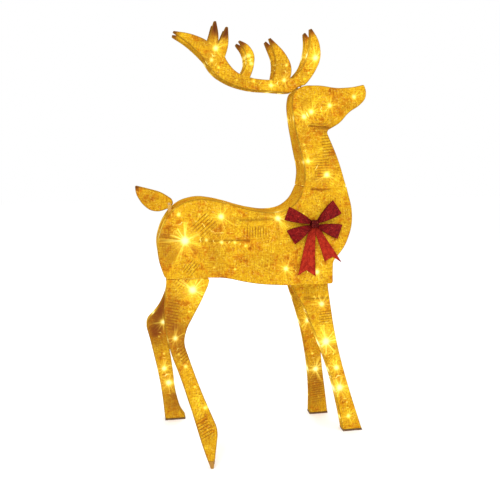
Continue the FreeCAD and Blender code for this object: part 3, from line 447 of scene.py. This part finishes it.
def side_face(node, outward):
    """The plane of a cover's outer side face, and the largest loop of points round it."""
    made = welded(node)
    groups = {}
    for face in made.faces:
        if face.normal.dot(outward) > 0.9:
            offset = face.normal.dot(face.calc_center_median())
            key = tuple(round(x, 2) for x in face.normal) + (round(offset, 3),)
            groups.setdefault(key, []).append(face)
    most = max(sum(f.calc_area() for f in faces) for faces in groups.values())
    wide = [faces for faces in groups.values() if sum(f.calc_area() for f in faces) > 0.5 * most]
    faces = max(wide, key=lambda faces: faces[0].calc_center_median().dot(outward))
    inside = set(faces)
    normal = max(faces, key=lambda f: f.calc_area()).normal.copy()
    follows = {}
    for face in faces:
        for loop in face.loops:
            if not any(other in inside and other is not face for other in loop.edge.link_faces):
                follows[loop.vert.index] = loop.link_loop_next.vert.index
    made.verts.ensure_lookup_table()
    loops = []
    while follows:
        at = next(iter(follows))
        loop = []
        while at in follows:
            loop.append(made.verts[at].co.copy())
            at = follows.pop(at)
        loops.append(loop)
    loop = max(loops, key=length_of)
    made.free()
    return normal, normal.dot(loop[0]), loop


def bulb_places(node):
    """The middle of each bulb in a node of separate bulbs."""
    made = welded(node)
    left = set(made.verts)
    places = []
    while left:
        found = [left.pop()]
        island = []
        while found:
            vert = found.pop()
            island.append(vert.co)
            for edge in vert.link_edges:
                other = edge.other_vert(vert)
                if other in left:
                    left.remove(other)
                    found.append(other)
        places.append(middle_of(island))
    made.free()
    return places


def as_piece(made, name):
    """A smooth mesh object from a bmesh, with its faces turned outwards."""
    bmesh.ops.recalc_face_normals(made, faces=made.faces)
    mesh = bpy.data.meshes.new(name)
    made.to_mesh(mesh)
    made.free()
    piece = bpy.data.objects.new(name, mesh)
    bpy.context.scene.collection.objects.link(piece)
    mesh.shade_smooth()
    return piece


def vector_layers(made, *names):
    return {layer: made.verts.layers.float_vector.new(layer) for layer in names}


# ---------------------------------------------------------------- covers

def resampled(points, spacing):
    """A closed loop with points about spacing apart that keeps its corners."""
    made = []
    count = len(points)
    for index, point in enumerate(points):
        after = points[(index + 1) % count]
        steps = max(1, round((after - point).length / spacing))
        for step in range(steps):
            made.append(point.lerp(after, step / steps))
    kept = []
    for point in made:
        if not kept or (point - kept[-1]).length > spacing * 0.3:
            kept.append(point)
    return kept


def signed_area(points):
    return sum(a.x * b.y - b.x * a.y for a, b in zip(points, points[1:] + points[:1])) / 2


class Outline:
    """A closed loop in the plane of a cover, with the distance from any point to it."""

    def __init__(self, points):
        self.points = points if signed_area(points) > 0 else points[::-1]
        self.low = Vector((min(p.x for p in self.points), min(p.y for p in self.points)))
        self.high = Vector((max(p.x for p in self.points), max(p.y for p in self.points)))
        self.tree = kdtree.KDTree(len(self.points))
        for index, point in enumerate(self.points):
            self.tree.insert((point.x, point.y, 0), index)
        self.tree.balance()
        self.inwards = []
        count = len(self.points)
        for index, point in enumerate(self.points):
            run = self.points[(index + 1) % count] - self.points[index - 1]
            self.inwards.append(Vector((-run.y, run.x)).normalized())

    def distance(self, place):
        _, index, _ = self.tree.find((place.x, place.y, 0))
        count = len(self.points)
        best = 1e9
        for at in range(index - 2, index + 2):
            start = self.points[at % count]
            end = self.points[(at + 1) % count]
            near, share = geometry.intersect_point_line(place, start, end)
            near = start if share < 0 else end if share > 1 else Vector((near[0], near[1]))
            best = min(best, (place - near).length)
        return best

    def holds(self, place):
        inside = False
        for a, b in zip(self.points, self.points[1:] + self.points[:1]):
            if (a.y > place.y) != (b.y > place.y):
                if place.x < (b.x - a.x) * (place.y - a.y) / (b.y - a.y) + a.x:
                    inside = not inside
        return inside


def rounding(distance):
    """How far the fabric lies below a side plane, at a distance from the outline."""
    if distance >= RIM:
        return 0.0
    return RIM - math.sqrt(max(RIM * RIM - (RIM - distance) ** 2, 0.0))


def filled(outline):
    """Points and triangles that fill an outline, with close rings along its edge."""
    points = list(outline.points)
    count = len(points)
    for depth in RINGS:
        for index in range(count):
            place = outline.points[index] + outline.inwards[index] * depth
            if outline.distance(place) > depth * 0.93 and outline.holds(place):
                points.append(place)
    taken = kdtree.KDTree(len(points))
    for index, place in enumerate(points):
        taken.insert((place.x, place.y, 0), index)
    taken.balance()
    rows = int((outline.high.y - outline.low.y) / (TRIANGLE * 0.866)) + 1
    columns = int((outline.high.x - outline.low.x) / TRIANGLE) + 2
    for row in range(rows):
        for column in range(columns):
            across = (column + 0.5 * (row % 2)) * TRIANGLE
            place = Vector((outline.low.x + across, outline.low.y + row * TRIANGLE * 0.866))
            if taken.find((place.x, place.y, 0))[2] > TRIANGLE * 0.62 and outline.holds(place):
                if outline.distance(place) > RINGS[-1]:
                    points.append(place)
    edges = [(index, (index + 1) % count) for index in range(count)]
    verts, _, faces, origins, _, _ = geometry.delaunay_2d_cdt(points, edges, [], 1, 1e-7)
    return verts, faces, count


class Stitches:
    """A patch of long dark stitches: its middle, its half length and half width, their angle and pitch."""

    def __init__(self, x, z, half_length, half_width, degrees, pitch=0.0085):
        self.middle = Vector((x, z))
        self.half = (half_length, half_width)
        self.along = Vector((math.cos(math.radians(degrees)), math.sin(math.radians(degrees))))
        self.across = Vector((-self.along.y, self.along.x))
        self.pitch = pitch

    def at(self, place):
        """(phase, amount) at a place: phase grows by one a stitch, and amount fades at the patch's edge."""
        gap = place - self.middle
        lengthwise = abs(gap.dot(self.along)) / self.half[0]
        sideways = abs(gap.dot(self.across)) / self.half[1]
        return gap.dot(self.across) / self.pitch, max(0.0, 1.6 - max(lengthwise, sideways) * 1.25)


class Look:
    """Where a cover is darker, stitched or seamed; its shades are painted shade.

    Each shade is (x, z, radius across, radius up, amount), each tip (x, z, reach) and each seam
    (x0, z0, x1, z1).  everywhere is painted shade that the whole cover has."""

    def __init__(self, shades=(), stitches=(), everywhere=0.0, seams=(), tips=()):
        self.shades = shades
        self.stitches = stitches
        self.everywhere = everywhere
        self.seams = seams
        self.tips = tips

    def dark(self, place):
        total = self.everywhere
        for x, z, wide, high, amount in self.shades:
            total += amount * math.exp(-((place.x - x) / wide) ** 2 - ((place.y - z) / high) ** 2)
        for x, z, reach in self.tips:
            total += 2.2 * max(0.0, 1 - (place - Vector((x, z))).length / reach)
        return min(total, 2.0)

    def seam(self, place):
        """How strongly a sewn seam, a thin dark line, shows at a place."""
        most = 0.0
        for x0, z0, x1, z1 in self.seams:
            near, share = geometry.intersect_point_line(place, Vector((x0, z0)), Vector((x1, z1)))
            if 0 <= share <= 1:
                most = max(most, 1 - (place - Vector((near[0], near[1]))).length / SEAM_HALF)
        return most

    def stitch(self, place):
        found = [patch.at(place) for patch in self.stitches]
        return max(found, key=lambda pair: pair[1], default=(0.0, 0.0))


class Cover:
    """A fabric cover stretched over two outline wires, built on the side faces of its CAD node."""

    def __init__(self, node, look, flush=(), reach_up=None):
        self.look = look
        self.flush = flush
        near, near_offset, loop = side_face(node, Vector((0, -1, 0)))
        far, far_offset, _ = side_face(node, Vector((0, 1, 0)))
        self.planes = ((near, near_offset), (far, far_offset))
        self.right = Vector((1, 0, 0))
        self.across = (far - near).normalized()
        self.up = self.right.cross(self.across)
        flat = [Vector((p.dot(self.right), p.dot(self.up))) for p in loop]
        if reach_up:
            edge, extra = reach_up
            for point, corner in zip(flat, loop):
                if abs(corner.z - edge) < 0.0015:
                    point.y += extra
        self.outline = Outline(resampled(flat, TRIANGLE))

    def depth(self, plane, place):
        """Where a side plane lies along the direction across, at a place in the drawing plane."""
        normal, offset = self.planes[plane]
        reached = offset - place.x * normal.dot(self.right) - place.y * normal.dot(self.up)
        return reached / normal.dot(self.across)

    def point(self, place, across):
        return self.right * place.x + self.up * place.y + self.across * across

    def spot(self, plane, place):
        """The (x, z) of a place on a side plane."""
        point = self.point(place, self.depth(plane, place))
        return Vector((point.x, point.z))

    def softness(self, spot):
        """How round the edge is: nearly square where two covers meet, and round elsewhere."""
        soft = 1.0
        for height, start, end in self.flush:
            if start < spot.x < end:
                soft = min(soft, 0.15 + abs(spot.y - height) / 0.022)
        return soft

    def pucker(self, place, side):
        """Slack and pull of the fabric between its wires."""
        slow = noise.noise(Vector((place.x * 14, place.y * 14, side * 7)))
        quick = noise.noise(Vector((place.x * 45, place.y * 45, side * 7 + 3)))
        return slow * 0.0010 + quick * 0.0004

    def mark(self, vert, layers, spot, edge, cloth):
        """Writes what the material reads at a point."""
        phase, amount = self.look.stitch(spot)
        vert[layers["cloth"]] = cloth
        vert[layers["zones"]] = Vector((edge, self.look.dark(spot), self.look.seam(spot)))
        vert[layers["stitches"]] = Vector((phase, amount, 0))

    def build(self, name):
        """The fabric as a mesh object."""
        places, faces, rim = filled(self.outline)
        made = bmesh.new()
        layers = vector_layers(made, "cloth", "zones", "stitches")
        sides = []
        for plane, sign in ((0, 1), (1, -1)):
            row = []
            for place in places:
                distance = self.outline.distance(place)
                spot = self.spot(plane, place)
                soft = self.softness(spot)
                inset = rounding(distance) * soft
                inset += min(distance / SLACK_REACH, 1.0) * (SLACK + self.pucker(place, plane))
                vert = made.verts.new(self.point(place, self.depth(plane, place) + sign * inset))
                cloth = Vector((place.x, place.y, 0.3 * plane))
                # edge: the wire seen through, and painted shade on the rounded rim, weaker where covers meet
                # square
                self.mark(vert, layers, spot, max(0.0, 1 - distance / WIRE_REACH) * soft * soft, cloth)
                row.append(vert)
            sides.append(row)
            for face in faces:
                corners = [row[index] for index in face]
                made.faces.new(corners if plane == 0 else corners[::-1])
        self.band(made, sides, rim, layers)
        return as_piece(made, name)

    def band(self, made, sides, count, layers):
        """The strip of fabric round the edge, between the two side faces."""
        length = 0.0
        columns = []
        for index in range(count):
            place = self.outline.points[index]
            inward = self.outline.inwards[index]
            spot = self.spot(0, place)
            soft = self.softness(spot)
            near = self.depth(0, place) + RIM * soft
            far = self.depth(1, place) - RIM * soft
            column = [sides[0][index]]
            for row in range(1, BAND_ROWS):
                share = row / BAND_ROWS
                ripple = 0.0003 * noise.noise(Vector((length * 30, share * 3, 1)))
                sag = (BAND_SAG * (1 - (2 * share - 1) ** 2) + ripple) * soft
                deep = near + (far - near) * share
                vert = made.verts.new(self.point(place + inward * sag, deep))
                edge = max(0.0, 1 - min(share, 1 - share) * abs(far - near) / WIRE_REACH)
                self.mark(vert, layers, spot, edge * soft, Vector((length, deep, 0.7)))
                # painted shade: the band round the edge is painted darker than the sides
                vert[layers["zones"]].y = min(0.9, vert[layers["zones"]].y + BAND_SHADE)
                column.append(vert)
            column.append(sides[1][index])
            columns.append(column)
            length += (self.outline.points[(index + 1) % count] - place).length
        for index in range(count):
            here = columns[index]
            after = columns[(index + 1) % count]
            for row in range(BAND_ROWS):
                made.faces.new((here[row], here[row + 1], after[row + 1], after[row]))


def level_of(bulb, index, bright):
    """How brightly a bulb shows through the fabric."""
    level = DIM[0] + (DIM[1] - DIM[0]) * ((index * 0.7548776662) % 1)
    for x, z, wanted in bright:
        if math.hypot(bulb.x - x, bulb.z - z) < MATCH:
            level = max(level, wanted)
    return level


def light_up(piece, bulbs, bright, lit):
    """Writes, at every point, the way along the cloth from its nearest bulb and that bulb's level."""
    mesh = piece.data
    mesh.attributes.new("to_bulb", "FLOAT_VECTOR", "POINT")
    mesh.attributes.new("lit", "FLOAT", "POINT")
    ways = mesh.attributes["to_bulb"]
    levels = mesh.attributes["lit"]
    brightness = [lit * level_of(bulb, index, bright) for index, bulb in enumerate(bulbs)]
    tree = kdtree.KDTree(len(bulbs))
    for index, place in enumerate(bulbs):
        tree.insert(place, index)
    tree.balance()
    mesh.update()
    for vert in mesh.vertices:
        # a bright bulb counts as nearer than a dim one
        found = tree.find_n(vert.co, 4)
        place, index, _ = min(found, key=lambda hit: hit[2] / (0.5 + brightness[hit[1]]))
        gap = vert.co - place
        gap -= vert.normal * gap.dot(vert.normal)
        side = Vector((1, 0, 0)) if abs(vert.normal.x) < 0.8 else Vector((0, 1, 0))
        side = (side - vert.normal * side.dot(vert.normal)).normalized()
        rise = vert.normal.cross(side)
        if rise.z < 0:
            rise = -rise
        ways.data[vert.index].vector = (gap.dot(side), gap.dot(rise), (index * 0.618) % 1 * 20)
        levels.data[vert.index].value = brightness[index]


def skinned(piece, node, body, material):
    """Gives a cover its thickness and material, says what it rides on, and hides its CAD node."""
    solid = piece.modifiers.new("skin", "SOLIDIFY")
    solid.thickness = SKIN
    solid.offset = -1
    use(piece, material)
    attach(piece, body)
    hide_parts(node)


# ---------------------------------------------------------------- pieces

# the painted shade, stitches, seams and dark tips of each cover
LOOKS = {
    "torso": Look(
        shades=[(-0.285, 0.680, 0.030, 0.030, 0.75), (-0.280, 0.625, 0.035, 0.030, 0.55),
                (-0.130, 0.610, 0.030, 0.050, 0.40), (-0.125, 0.700, 0.025, 0.020, 0.30),
                (0.030, 0.745, 0.035, 0.008, 0.50), (-0.070, 0.790, 0.080, 0.018, 0.30),
                (0.030, 0.600, 0.050, 0.030, 0.30), (0.150, 0.660, 0.040, 0.030, 0.25),
                (0.300, 0.720, 0.014, 0.060, 0.30)],
        stitches=[Stitches(-0.163, 0.716, 0.036, 0.030, 42, 0.0095),
                  Stitches(-0.268, 0.676, 0.026, 0.014, -8, 0.0090),
                  Stitches(-0.205, 0.586, 0.024, 0.020, 50), Stitches(0.000, 0.690, 0.018, 0.040, 88)],
        seams=[(0.175, 0.822, 0.245, 0.817), (-0.055, 0.729, 0.120, 0.729), (-0.300, 0.670, -0.235, 0.670),
               (-0.180, 0.668, -0.020, 0.664)]),
    "head": Look(
        shades=[(0.245, 1.010, 0.030, 0.016, 0.60), (0.155, 0.990, 0.012, 0.060, 0.30),
                (0.255, 0.940, 0.018, 0.060, 0.45), (0.315, 1.080, 0.035, 0.020, 0.30),
                (0.160, 1.090, 0.020, 0.020, 0.30), (0.190, 0.850, 0.030, 0.012, 0.35)],
        stitches=[Stitches(0.215, 0.885, 0.026, 0.042, 2, 0.0085),
                  Stitches(0.235, 0.960, 0.020, 0.040, 6, 0.0090),
                  Stitches(0.205, 1.015, 0.030, 0.016, 0, 0.0080)],
        seams=[(0.170, 1.020, 0.240, 1.012)]),
    "antler": Look(
        shades=[(-0.135, 1.215, 0.020, 0.030, 0.55), (-0.050, 1.150, 0.040, 0.016, 0.40),
                (0.090, 1.185, 0.020, 0.030, 0.45), (-0.165, 1.262, 0.025, 0.015, 0.30)],
        tips=[(-0.245, 1.291, 0.024), (-0.120, 1.325, 0.075), (-0.083, 1.310, 0.045), (-0.046, 1.271, 0.032),
              (0.048, 1.281, 0.034), (0.176, 1.312, 0.028)]),
    "near_hind_leg": Look(
        shades=[(-0.272, 0.420, 0.030, 0.090, 0.95), (-0.225, 0.370, 0.035, 0.060, 0.80),
                (-0.170, 0.110, 0.030, 0.060, 0.25)],
        stitches=[Stitches(-0.232, 0.545, 0.024, 0.022, 48), Stitches(-0.268, 0.445, 0.020, 0.050, -12),
                  Stitches(-0.185, 0.120, 0.022, 0.034, 24), Stitches(-0.240, 0.335, 0.020, 0.030, 35)]),
    "far_hind_leg": Look(
        everywhere=0.22,
        shades=[(-0.300, 0.420, 0.050, 0.100, 1.00), (-0.262, 0.080, 0.030, 0.050, 0.75),
                (-0.320, 0.330, 0.030, 0.050, 0.60)],
        stitches=[Stitches(-0.318, 0.350, 0.022, 0.024, 38, 0.011),
                  Stitches(-0.290, 0.460, 0.020, 0.040, -14)]),
    "near_front_leg": Look(
        shades=[(0.180, 0.455, 0.018, 0.060, 0.25), (0.262, 0.180, 0.010, 0.050, 0.20)],
        stitches=[Stitches(0.240, 0.395, 0.022, 0.026, 4)],
        seams=[(0.165, 0.462, 0.250, 0.458)]),
    "far_front_leg": Look(
        everywhere=0.02,
        shades=[(0.245, 0.120, 0.040, 0.110, 0.75), (0.150, 0.440, 0.020, 0.060, 0.30)],
        stitches=[Stitches(0.245, 0.130, 0.024, 0.085, 6, 0.0090)]),
    "tail": Look(
        everywhere=0.08,
        shades=[(-0.330, 0.795, 0.030, 0.020, 0.35)],
        tips=[(-0.366, 0.834, 0.016)]),
}
COVERS = ("torso", "head", "near_antler", "far_antler", "near_hind_leg", "far_hind_leg", "near_front_leg",
          "far_front_leg", "tail")
LEGS = ("near_hind_leg", "far_hind_leg", "near_front_leg", "far_front_leg")


def build_covers():
    """Every fabric cover, on the body that carries its CAD node."""
    material = gold_fabric("gold_mesh_lit")
    torso_bulbs = bulb_places("torso_bulbs")
    for name in COVERS:
        kind = "antler" if "antler" in name else name
        if name == "torso":
            flush = [(NECK_SEAM, 0.1, 0.35), (HIND_BELLY, -0.285, -0.12), (FRONT_BELLY, 0.07, 0.26)]
            reach_up = (NECK_SEAM - 0.001, SEAM_EXTRA)
        elif name == "head":
            flush = [(NECK_SEAM, 0.1, 0.35)]
            reach_up = (NECK_SEAM + 0.001, -SEAM_EXTRA)
        elif "leg" in name:
            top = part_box(name + "_cover")[1].z
            flush = [(top, -1.0, 1.0)]
            reach_up = (top, LEG_EXTRA)
        else:
            flush, reach_up = (), None
        cover = Cover(name + "_cover", LOOKS[kind], flush, reach_up)
        piece = cover.build(name + "_fabric")
        bulbs = torso_bulbs if name == "tail" else bulb_places(name + "_bulbs")
        light_up(piece, bulbs, BRIGHT.get(kind, ()), 0.4 if name == "tail" else 1.0)
        skinned(piece, name + "_cover", name, material)


def ribbon(name, rows, body, material, nodes):
    """A strip of ribbon through rows of points, with its thickness and cloth coordinates."""
    made = bmesh.new()
    layers = vector_layers(made, "cloth", "zones")
    grid = []
    length = 0.0
    for index, row in enumerate(rows):
        middle = row[len(row) // 2]
        if index:
            length += (middle - rows[index - 1][len(row) // 2]).length
        width = length_of(row)
        line = []
        for step, point in enumerate(row):
            share = step / (len(row) - 1)
            vert = made.verts.new(point)
            vert[layers["cloth"]] = Vector((length, share * width, 0))
            edge = max(0.0, 1 - min(share, 1 - share) * RIBBON_WIDTH / RIBBON_WIRE)
            # painted shade in the gathers, where the ribbon is pinched narrow
            pinch_shade = max(0.0, 1 - width / RIBBON_WIDTH * 1.2)
            vert[layers["zones"]] = Vector((edge, pinch_shade, 0))
            line.append(vert)
        grid.append(line)
    for above, below in zip(grid, grid[1:]):
        for a, b, c, d in zip(above, above[1:], below[1:], below):
            made.faces.new((a, b, c, d))
    bmesh.ops.remove_doubles(made, verts=made.verts, dist=1e-6)
    piece = as_piece(made, name)
    area = sum(p.area for p in piece.data.polygons)
    solid = piece.modifiers.new("ribbon", "SOLIDIFY")
    solid.thickness = RIBBON_THICKNESS
    solid.offset = 0
    use(piece, material)
    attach(piece, body)
    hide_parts(*nodes)
    width = min(RIBBON_WIDTH, area / max(length, 0.01) * 1.3)


def loop_rows(corners, place, turns, phase):
    """A flattened loop of ribbon: out over the front, round the fold, and back behind."""
    root_a, root_b, end_a, end_b = [Vector(corner) / 1000 for corner in corners]
    root_middle = (root_a + root_b) / 2
    end_middle = (end_a + end_b) / 2
    span = (end_middle - root_middle).length
    path = []    # (share of the way out, height, how much of the pleats and of the curl a row has)
    for step in range(LOOP_FRONT):
        s = step / (LOOP_FRONT - 1)
        path.append((s, 0.0125 + 0.0085 * math.sin(math.pi * s ** 0.8) - 0.0040 * s, 1.0))
    for step in range(1, LOOP_FOLD):
        turn = math.pi * step / LOOP_FOLD
        path.append((1 + 0.0030 / span * math.sin(turn), 0.0058 + 0.0027 * math.cos(turn), math.cos(turn)))
    for step in range(LOOP_BACK):
        s = 1 - step / (LOOP_BACK - 1)
        path.append((s, 0.0031 + 0.0035 * (1 - s) ** 2, -0.4))
    rows = []
    for s, height, front in path:
        row = []
        fan = 1 - (1 - min(s, 1.0)) ** 1.5
        for step in range(RIBBON_COLUMNS):
            share = step / (RIBBON_COLUMNS - 1)
            across = 2 * share - 1
            root = root_a.lerp(root_b, share)
            end = end_a.lerp(end_b, share)
            middle = root_middle + (end_middle - root_middle) * s
            offset = (root - root_middle).lerp(end - end_middle, fan)
            pleat = 0.0022 * math.cos(across * math.pi * turns + phase) * max(0.0, 1 - s / 0.75) ** 1.5
            curl = -0.0034 * across * across * min(1.0, 3 * s * (1.15 - min(s, 1.0)))
            wire = 0.0005 if abs(across) > 0.93 else 0.0
            flat = middle + offset
            row.append(place(flat.x, flat.y, height + (pleat + curl) * front + wire))
        rows.append(row)
    return rows


def tail_rows(corners, place, swing, phase):
    """A hanging tail with a notched end that waves a little."""
    root_a, root_b, end_a, notch, end_b = [Vector(corner) / 1000 for corner in corners]
    rows = []
    for line in range(TAIL_ROWS):
        s = line / (TAIL_ROWS - 1)
        row = []
        for step in range(RIBBON_COLUMNS):
            share = step / (RIBBON_COLUMNS - 1)
            across = 2 * share - 1
            end = end_a.lerp(notch, share * 2) if share <= 0.5 else notch.lerp(end_b, share * 2 - 1)
            flat = root_a.lerp(root_b, share).lerp(end, s)
            wave = 0.0022 * math.sin(s * 7.5 + phase) * min(1.0, s * 3)
            twist = 0.0016 * across * math.sin(s * 5.0 + phase)
            lift = 0.0030 + 0.0040 * (1 - s) ** 3 + swing * s * s
            row.append(place(flat.x, flat.y, max(lift + wave + twist, 0.0012)))
        rows.append(row)
    return rows


def knot_rows(place):
    """The band that wraps the middle of the bow, with creases along it."""
    rows = []
    for line in range(KNOT_STEPS + 1):
        turn = 2 * math.pi * line / KNOT_STEPS
        row = []
        for step in range(RIBBON_COLUMNS):
            across = 2 * step / (RIBBON_COLUMNS - 1) - 1
            crease = 0.0009 * math.cos(across * math.pi * 2.6 + 0.6 * math.sin(turn)) - 0.0022 * across ** 4
            high = 0.0125 + crease
            deep = 0.0112 + crease
            row.append(place(across * 0.0118, high * math.sin(turn), 0.0122 + deep * math.cos(turn)))
        rows.append(row)
    return rows


def build_bow():
    """Four loops, two tails and a knot of ribbon, laid against the near side of the chest."""
    out, _, _ = side_face("torso_cover", Vector((0, -1, 0)))
    low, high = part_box("bow_knot")
    middle = (low + high) / 2 - out * 0.0125
    right = Vector((1, 0, 0))
    up = out.cross(right).normalized()
    if up.z < 0:
        up = -up

    def place(x, z, height):
        return middle + right * x + up * z + out * height

    burgundy = ribbon_fabric("burgundy_ribbon", *BURGUNDY)
    dark = ribbon_fabric("knot_ribbon", *DARK_RED)
    scarlet = ribbon_fabric("scarlet_ribbon", *SCARLET)
    for index, corners in enumerate(BOW_LOOPS):
        rows = loop_rows(corners, place, 2.2 + 0.3 * index, index * 1.3)
        ribbon("bow_loop_%d" % (index + 1), rows, "torso", burgundy, ["bow_loops"])
    for index, corners in enumerate(BOW_TAILS):
        rows = tail_rows(corners, place, 0.0035, 0.6 + 2.0 * index)
        ribbon("bow_tail_%d" % (index + 1), rows, "torso", scarlet, ["bow_tails"])
    ribbon("bow_knot_band", knot_rows(place), "torso", dark, ["bow_knot"])


def build_jumpers(looks):
    """The leads between the torso and the legs, each a tube with a slight bow."""
    for leg in LEGS:
        node = leg + "_jumper"
        points = [vert.co for vert in NODES[node].data.vertices]
        low = min(p.z for p in points)
        high = max(p.z for p in points)
        foot = middle_of([p for p in points if p.z < low + 0.002])
        head = middle_of([p for p in points if p.z > high - 0.002])
        along = (head - foot).normalized()
        side = along.cross(Vector((0, 1, 0))).normalized()
        other = along.cross(side)
        made = bmesh.new()
        rings = []
        for line in range(LEAD_STEPS + 1):
            share = line / LEAD_STEPS
            bow = 0.0010 * math.sin(math.pi * share)
            radius = LEAD_RADIUS * (1 + 0.10 * math.cos(share * math.pi * 12) ** 8)
            middle = foot.lerp(head, share) + side * bow
            ring = []
            for k in range(LEAD_SIDES):
                turn = 2 * math.pi * k / LEAD_SIDES
                spoke = side * math.cos(turn) + other * math.sin(turn)
                ring.append(made.verts.new(middle + spoke * radius))
            rings.append(ring)
        for below, above in zip(rings, rings[1:]):
            for k in range(LEAD_SIDES):
                after = (k + 1) % LEAD_SIDES
                made.faces.new((below[k], below[after], above[after], above[k]))
        made.faces.new(rings[0][::-1])
        made.faces.new(rings[-1])
        piece = as_piece(made, leg + "_bending_lead")
        use(piece, looks["lead"])
        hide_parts(node)
        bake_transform(piece)


def build_materials():
    """The materials of the CAD nodes that show as they are, put on their slots."""
    looks = {
        "frame": metal("gold_wire_paint", (0.72, 0.44, 0.10), 0.32, (0.32, 0.20, 0.07)),
        "steel": metal("zinc_steel", (0.40, 0.39, 0.36), 0.35, (0.22, 0.21, 0.20)),
        "lead": moulded("clear_lead", (0.80, 0.58, 0.24), 0.35),
        "bulb": glass_bulb("warm_bulb"),
        "plastic": moulded("black_plastic", (0.02, 0.018, 0.016), 0.45, 0.08),
        "nylon": moulded("nylon_tie", (0.85, 0.80, 0.68), 0.35, 0.1),
        "foot": moulded("foot_rubber", (0.115, 0.050, 0.012), 0.6, 0.10),
    }
    slots = {"gold_wire": "frame", "steel": "steel", "lead": "lead", "light": "bulb", "plastic": "plastic",
             "nylon": "nylon", "foot": "foot"}
    for name, obj in NODES.items():
        for entry in obj.material_slots:
            kind = entry.material.name.split(".")[0] if entry.material else ""
            if kind in slots:
                entry.material = looks[slots[kind]]
    use(NODES["near_hind_leg_foot"], metal("toe_metal", (0.46, 0.24, 0.05), 0.45, (0.20, 0.13, 0.06)))
    return looks


def build_stage():
    mesh = bpy.data.meshes.new("floor")
    mesh.from_pydata([(-9, -9, 0), (9, -9, 0), (9, 9, 0), (-9, 9, 0)], [], [(0, 1, 2, 3)])
    floor = bpy.data.objects.new("floor", mesh)
    bpy.context.scene.collection.objects.link(floor)
    s = Shader("studio_floor")
    made = s.surface(Base_Color=(0.93, 0.93, 0.925, 1), Emission_Color=(1, 1, 1, 1), Emission_Strength=0.08)
    made.inputs["Roughness"].default_value = 1.0
    made.inputs["Specular IOR Level"].default_value = 0.0
    use(floor, s.material)
    floor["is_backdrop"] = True


def area_light(name, place, target, size, power, shade=(1, 1, 1)):
    data = bpy.data.lights.new(name, "AREA")
    data.shape = "DISK"
    data.size = size
    data.energy = power
    data.color = shade
    light = bpy.data.objects.new(name, data)
    light.location = place
    light.rotation_euler = (Vector(target) - Vector(place)).to_track_quat("-Z", "Y").to_euler()
    bpy.context.scene.collection.objects.link(light)


def build_lights():
    world = bpy.data.worlds.new("studio")
    world.use_nodes = True
    world.node_tree.nodes["Background"].inputs[0].default_value = (1.0, 1.0, 1.0, 1)
    world.node_tree.nodes["Background"].inputs[1].default_value = 1.0
    bpy.context.scene.world = world
    area_light("key", (-1.6, -2.6, 2.8), (0, 0, 0.6), 1.6, 60)
    area_light("fill", (2.4, -1.8, 1.6), (0, 0, 0.6), 2.4, 14)
    area_light("back", (0.4, 2.8, 2.4), (0, 0, 0.7), 2.0, 30)


def build_camera():
    data = bpy.data.cameras.new("camera")
    data.sensor_width = 36
    data.lens = 43.4
    data.clip_end = 60
    camera = bpy.data.objects.new("camera", data)
    camera.location = (-0.34395, -1.86014, 0.95)
    target = Vector((-0.00535, 0.06026, 0.62))
    camera.rotation_euler = (target - camera.location).to_track_quat("-Z", "Y").to_euler()
    bpy.context.scene.collection.objects.link(camera)
    bpy.context.scene.camera = camera


bpy.context.scene.view_settings.view_transform = "Standard"
build_camera()
build_stage()
build_lights()
LOOK_OF = build_materials()
build_covers()
build_bow()
build_jumpers(LOOK_OF)

[[list(corner) for corner in box] for box in (CAD_BOX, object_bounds())]
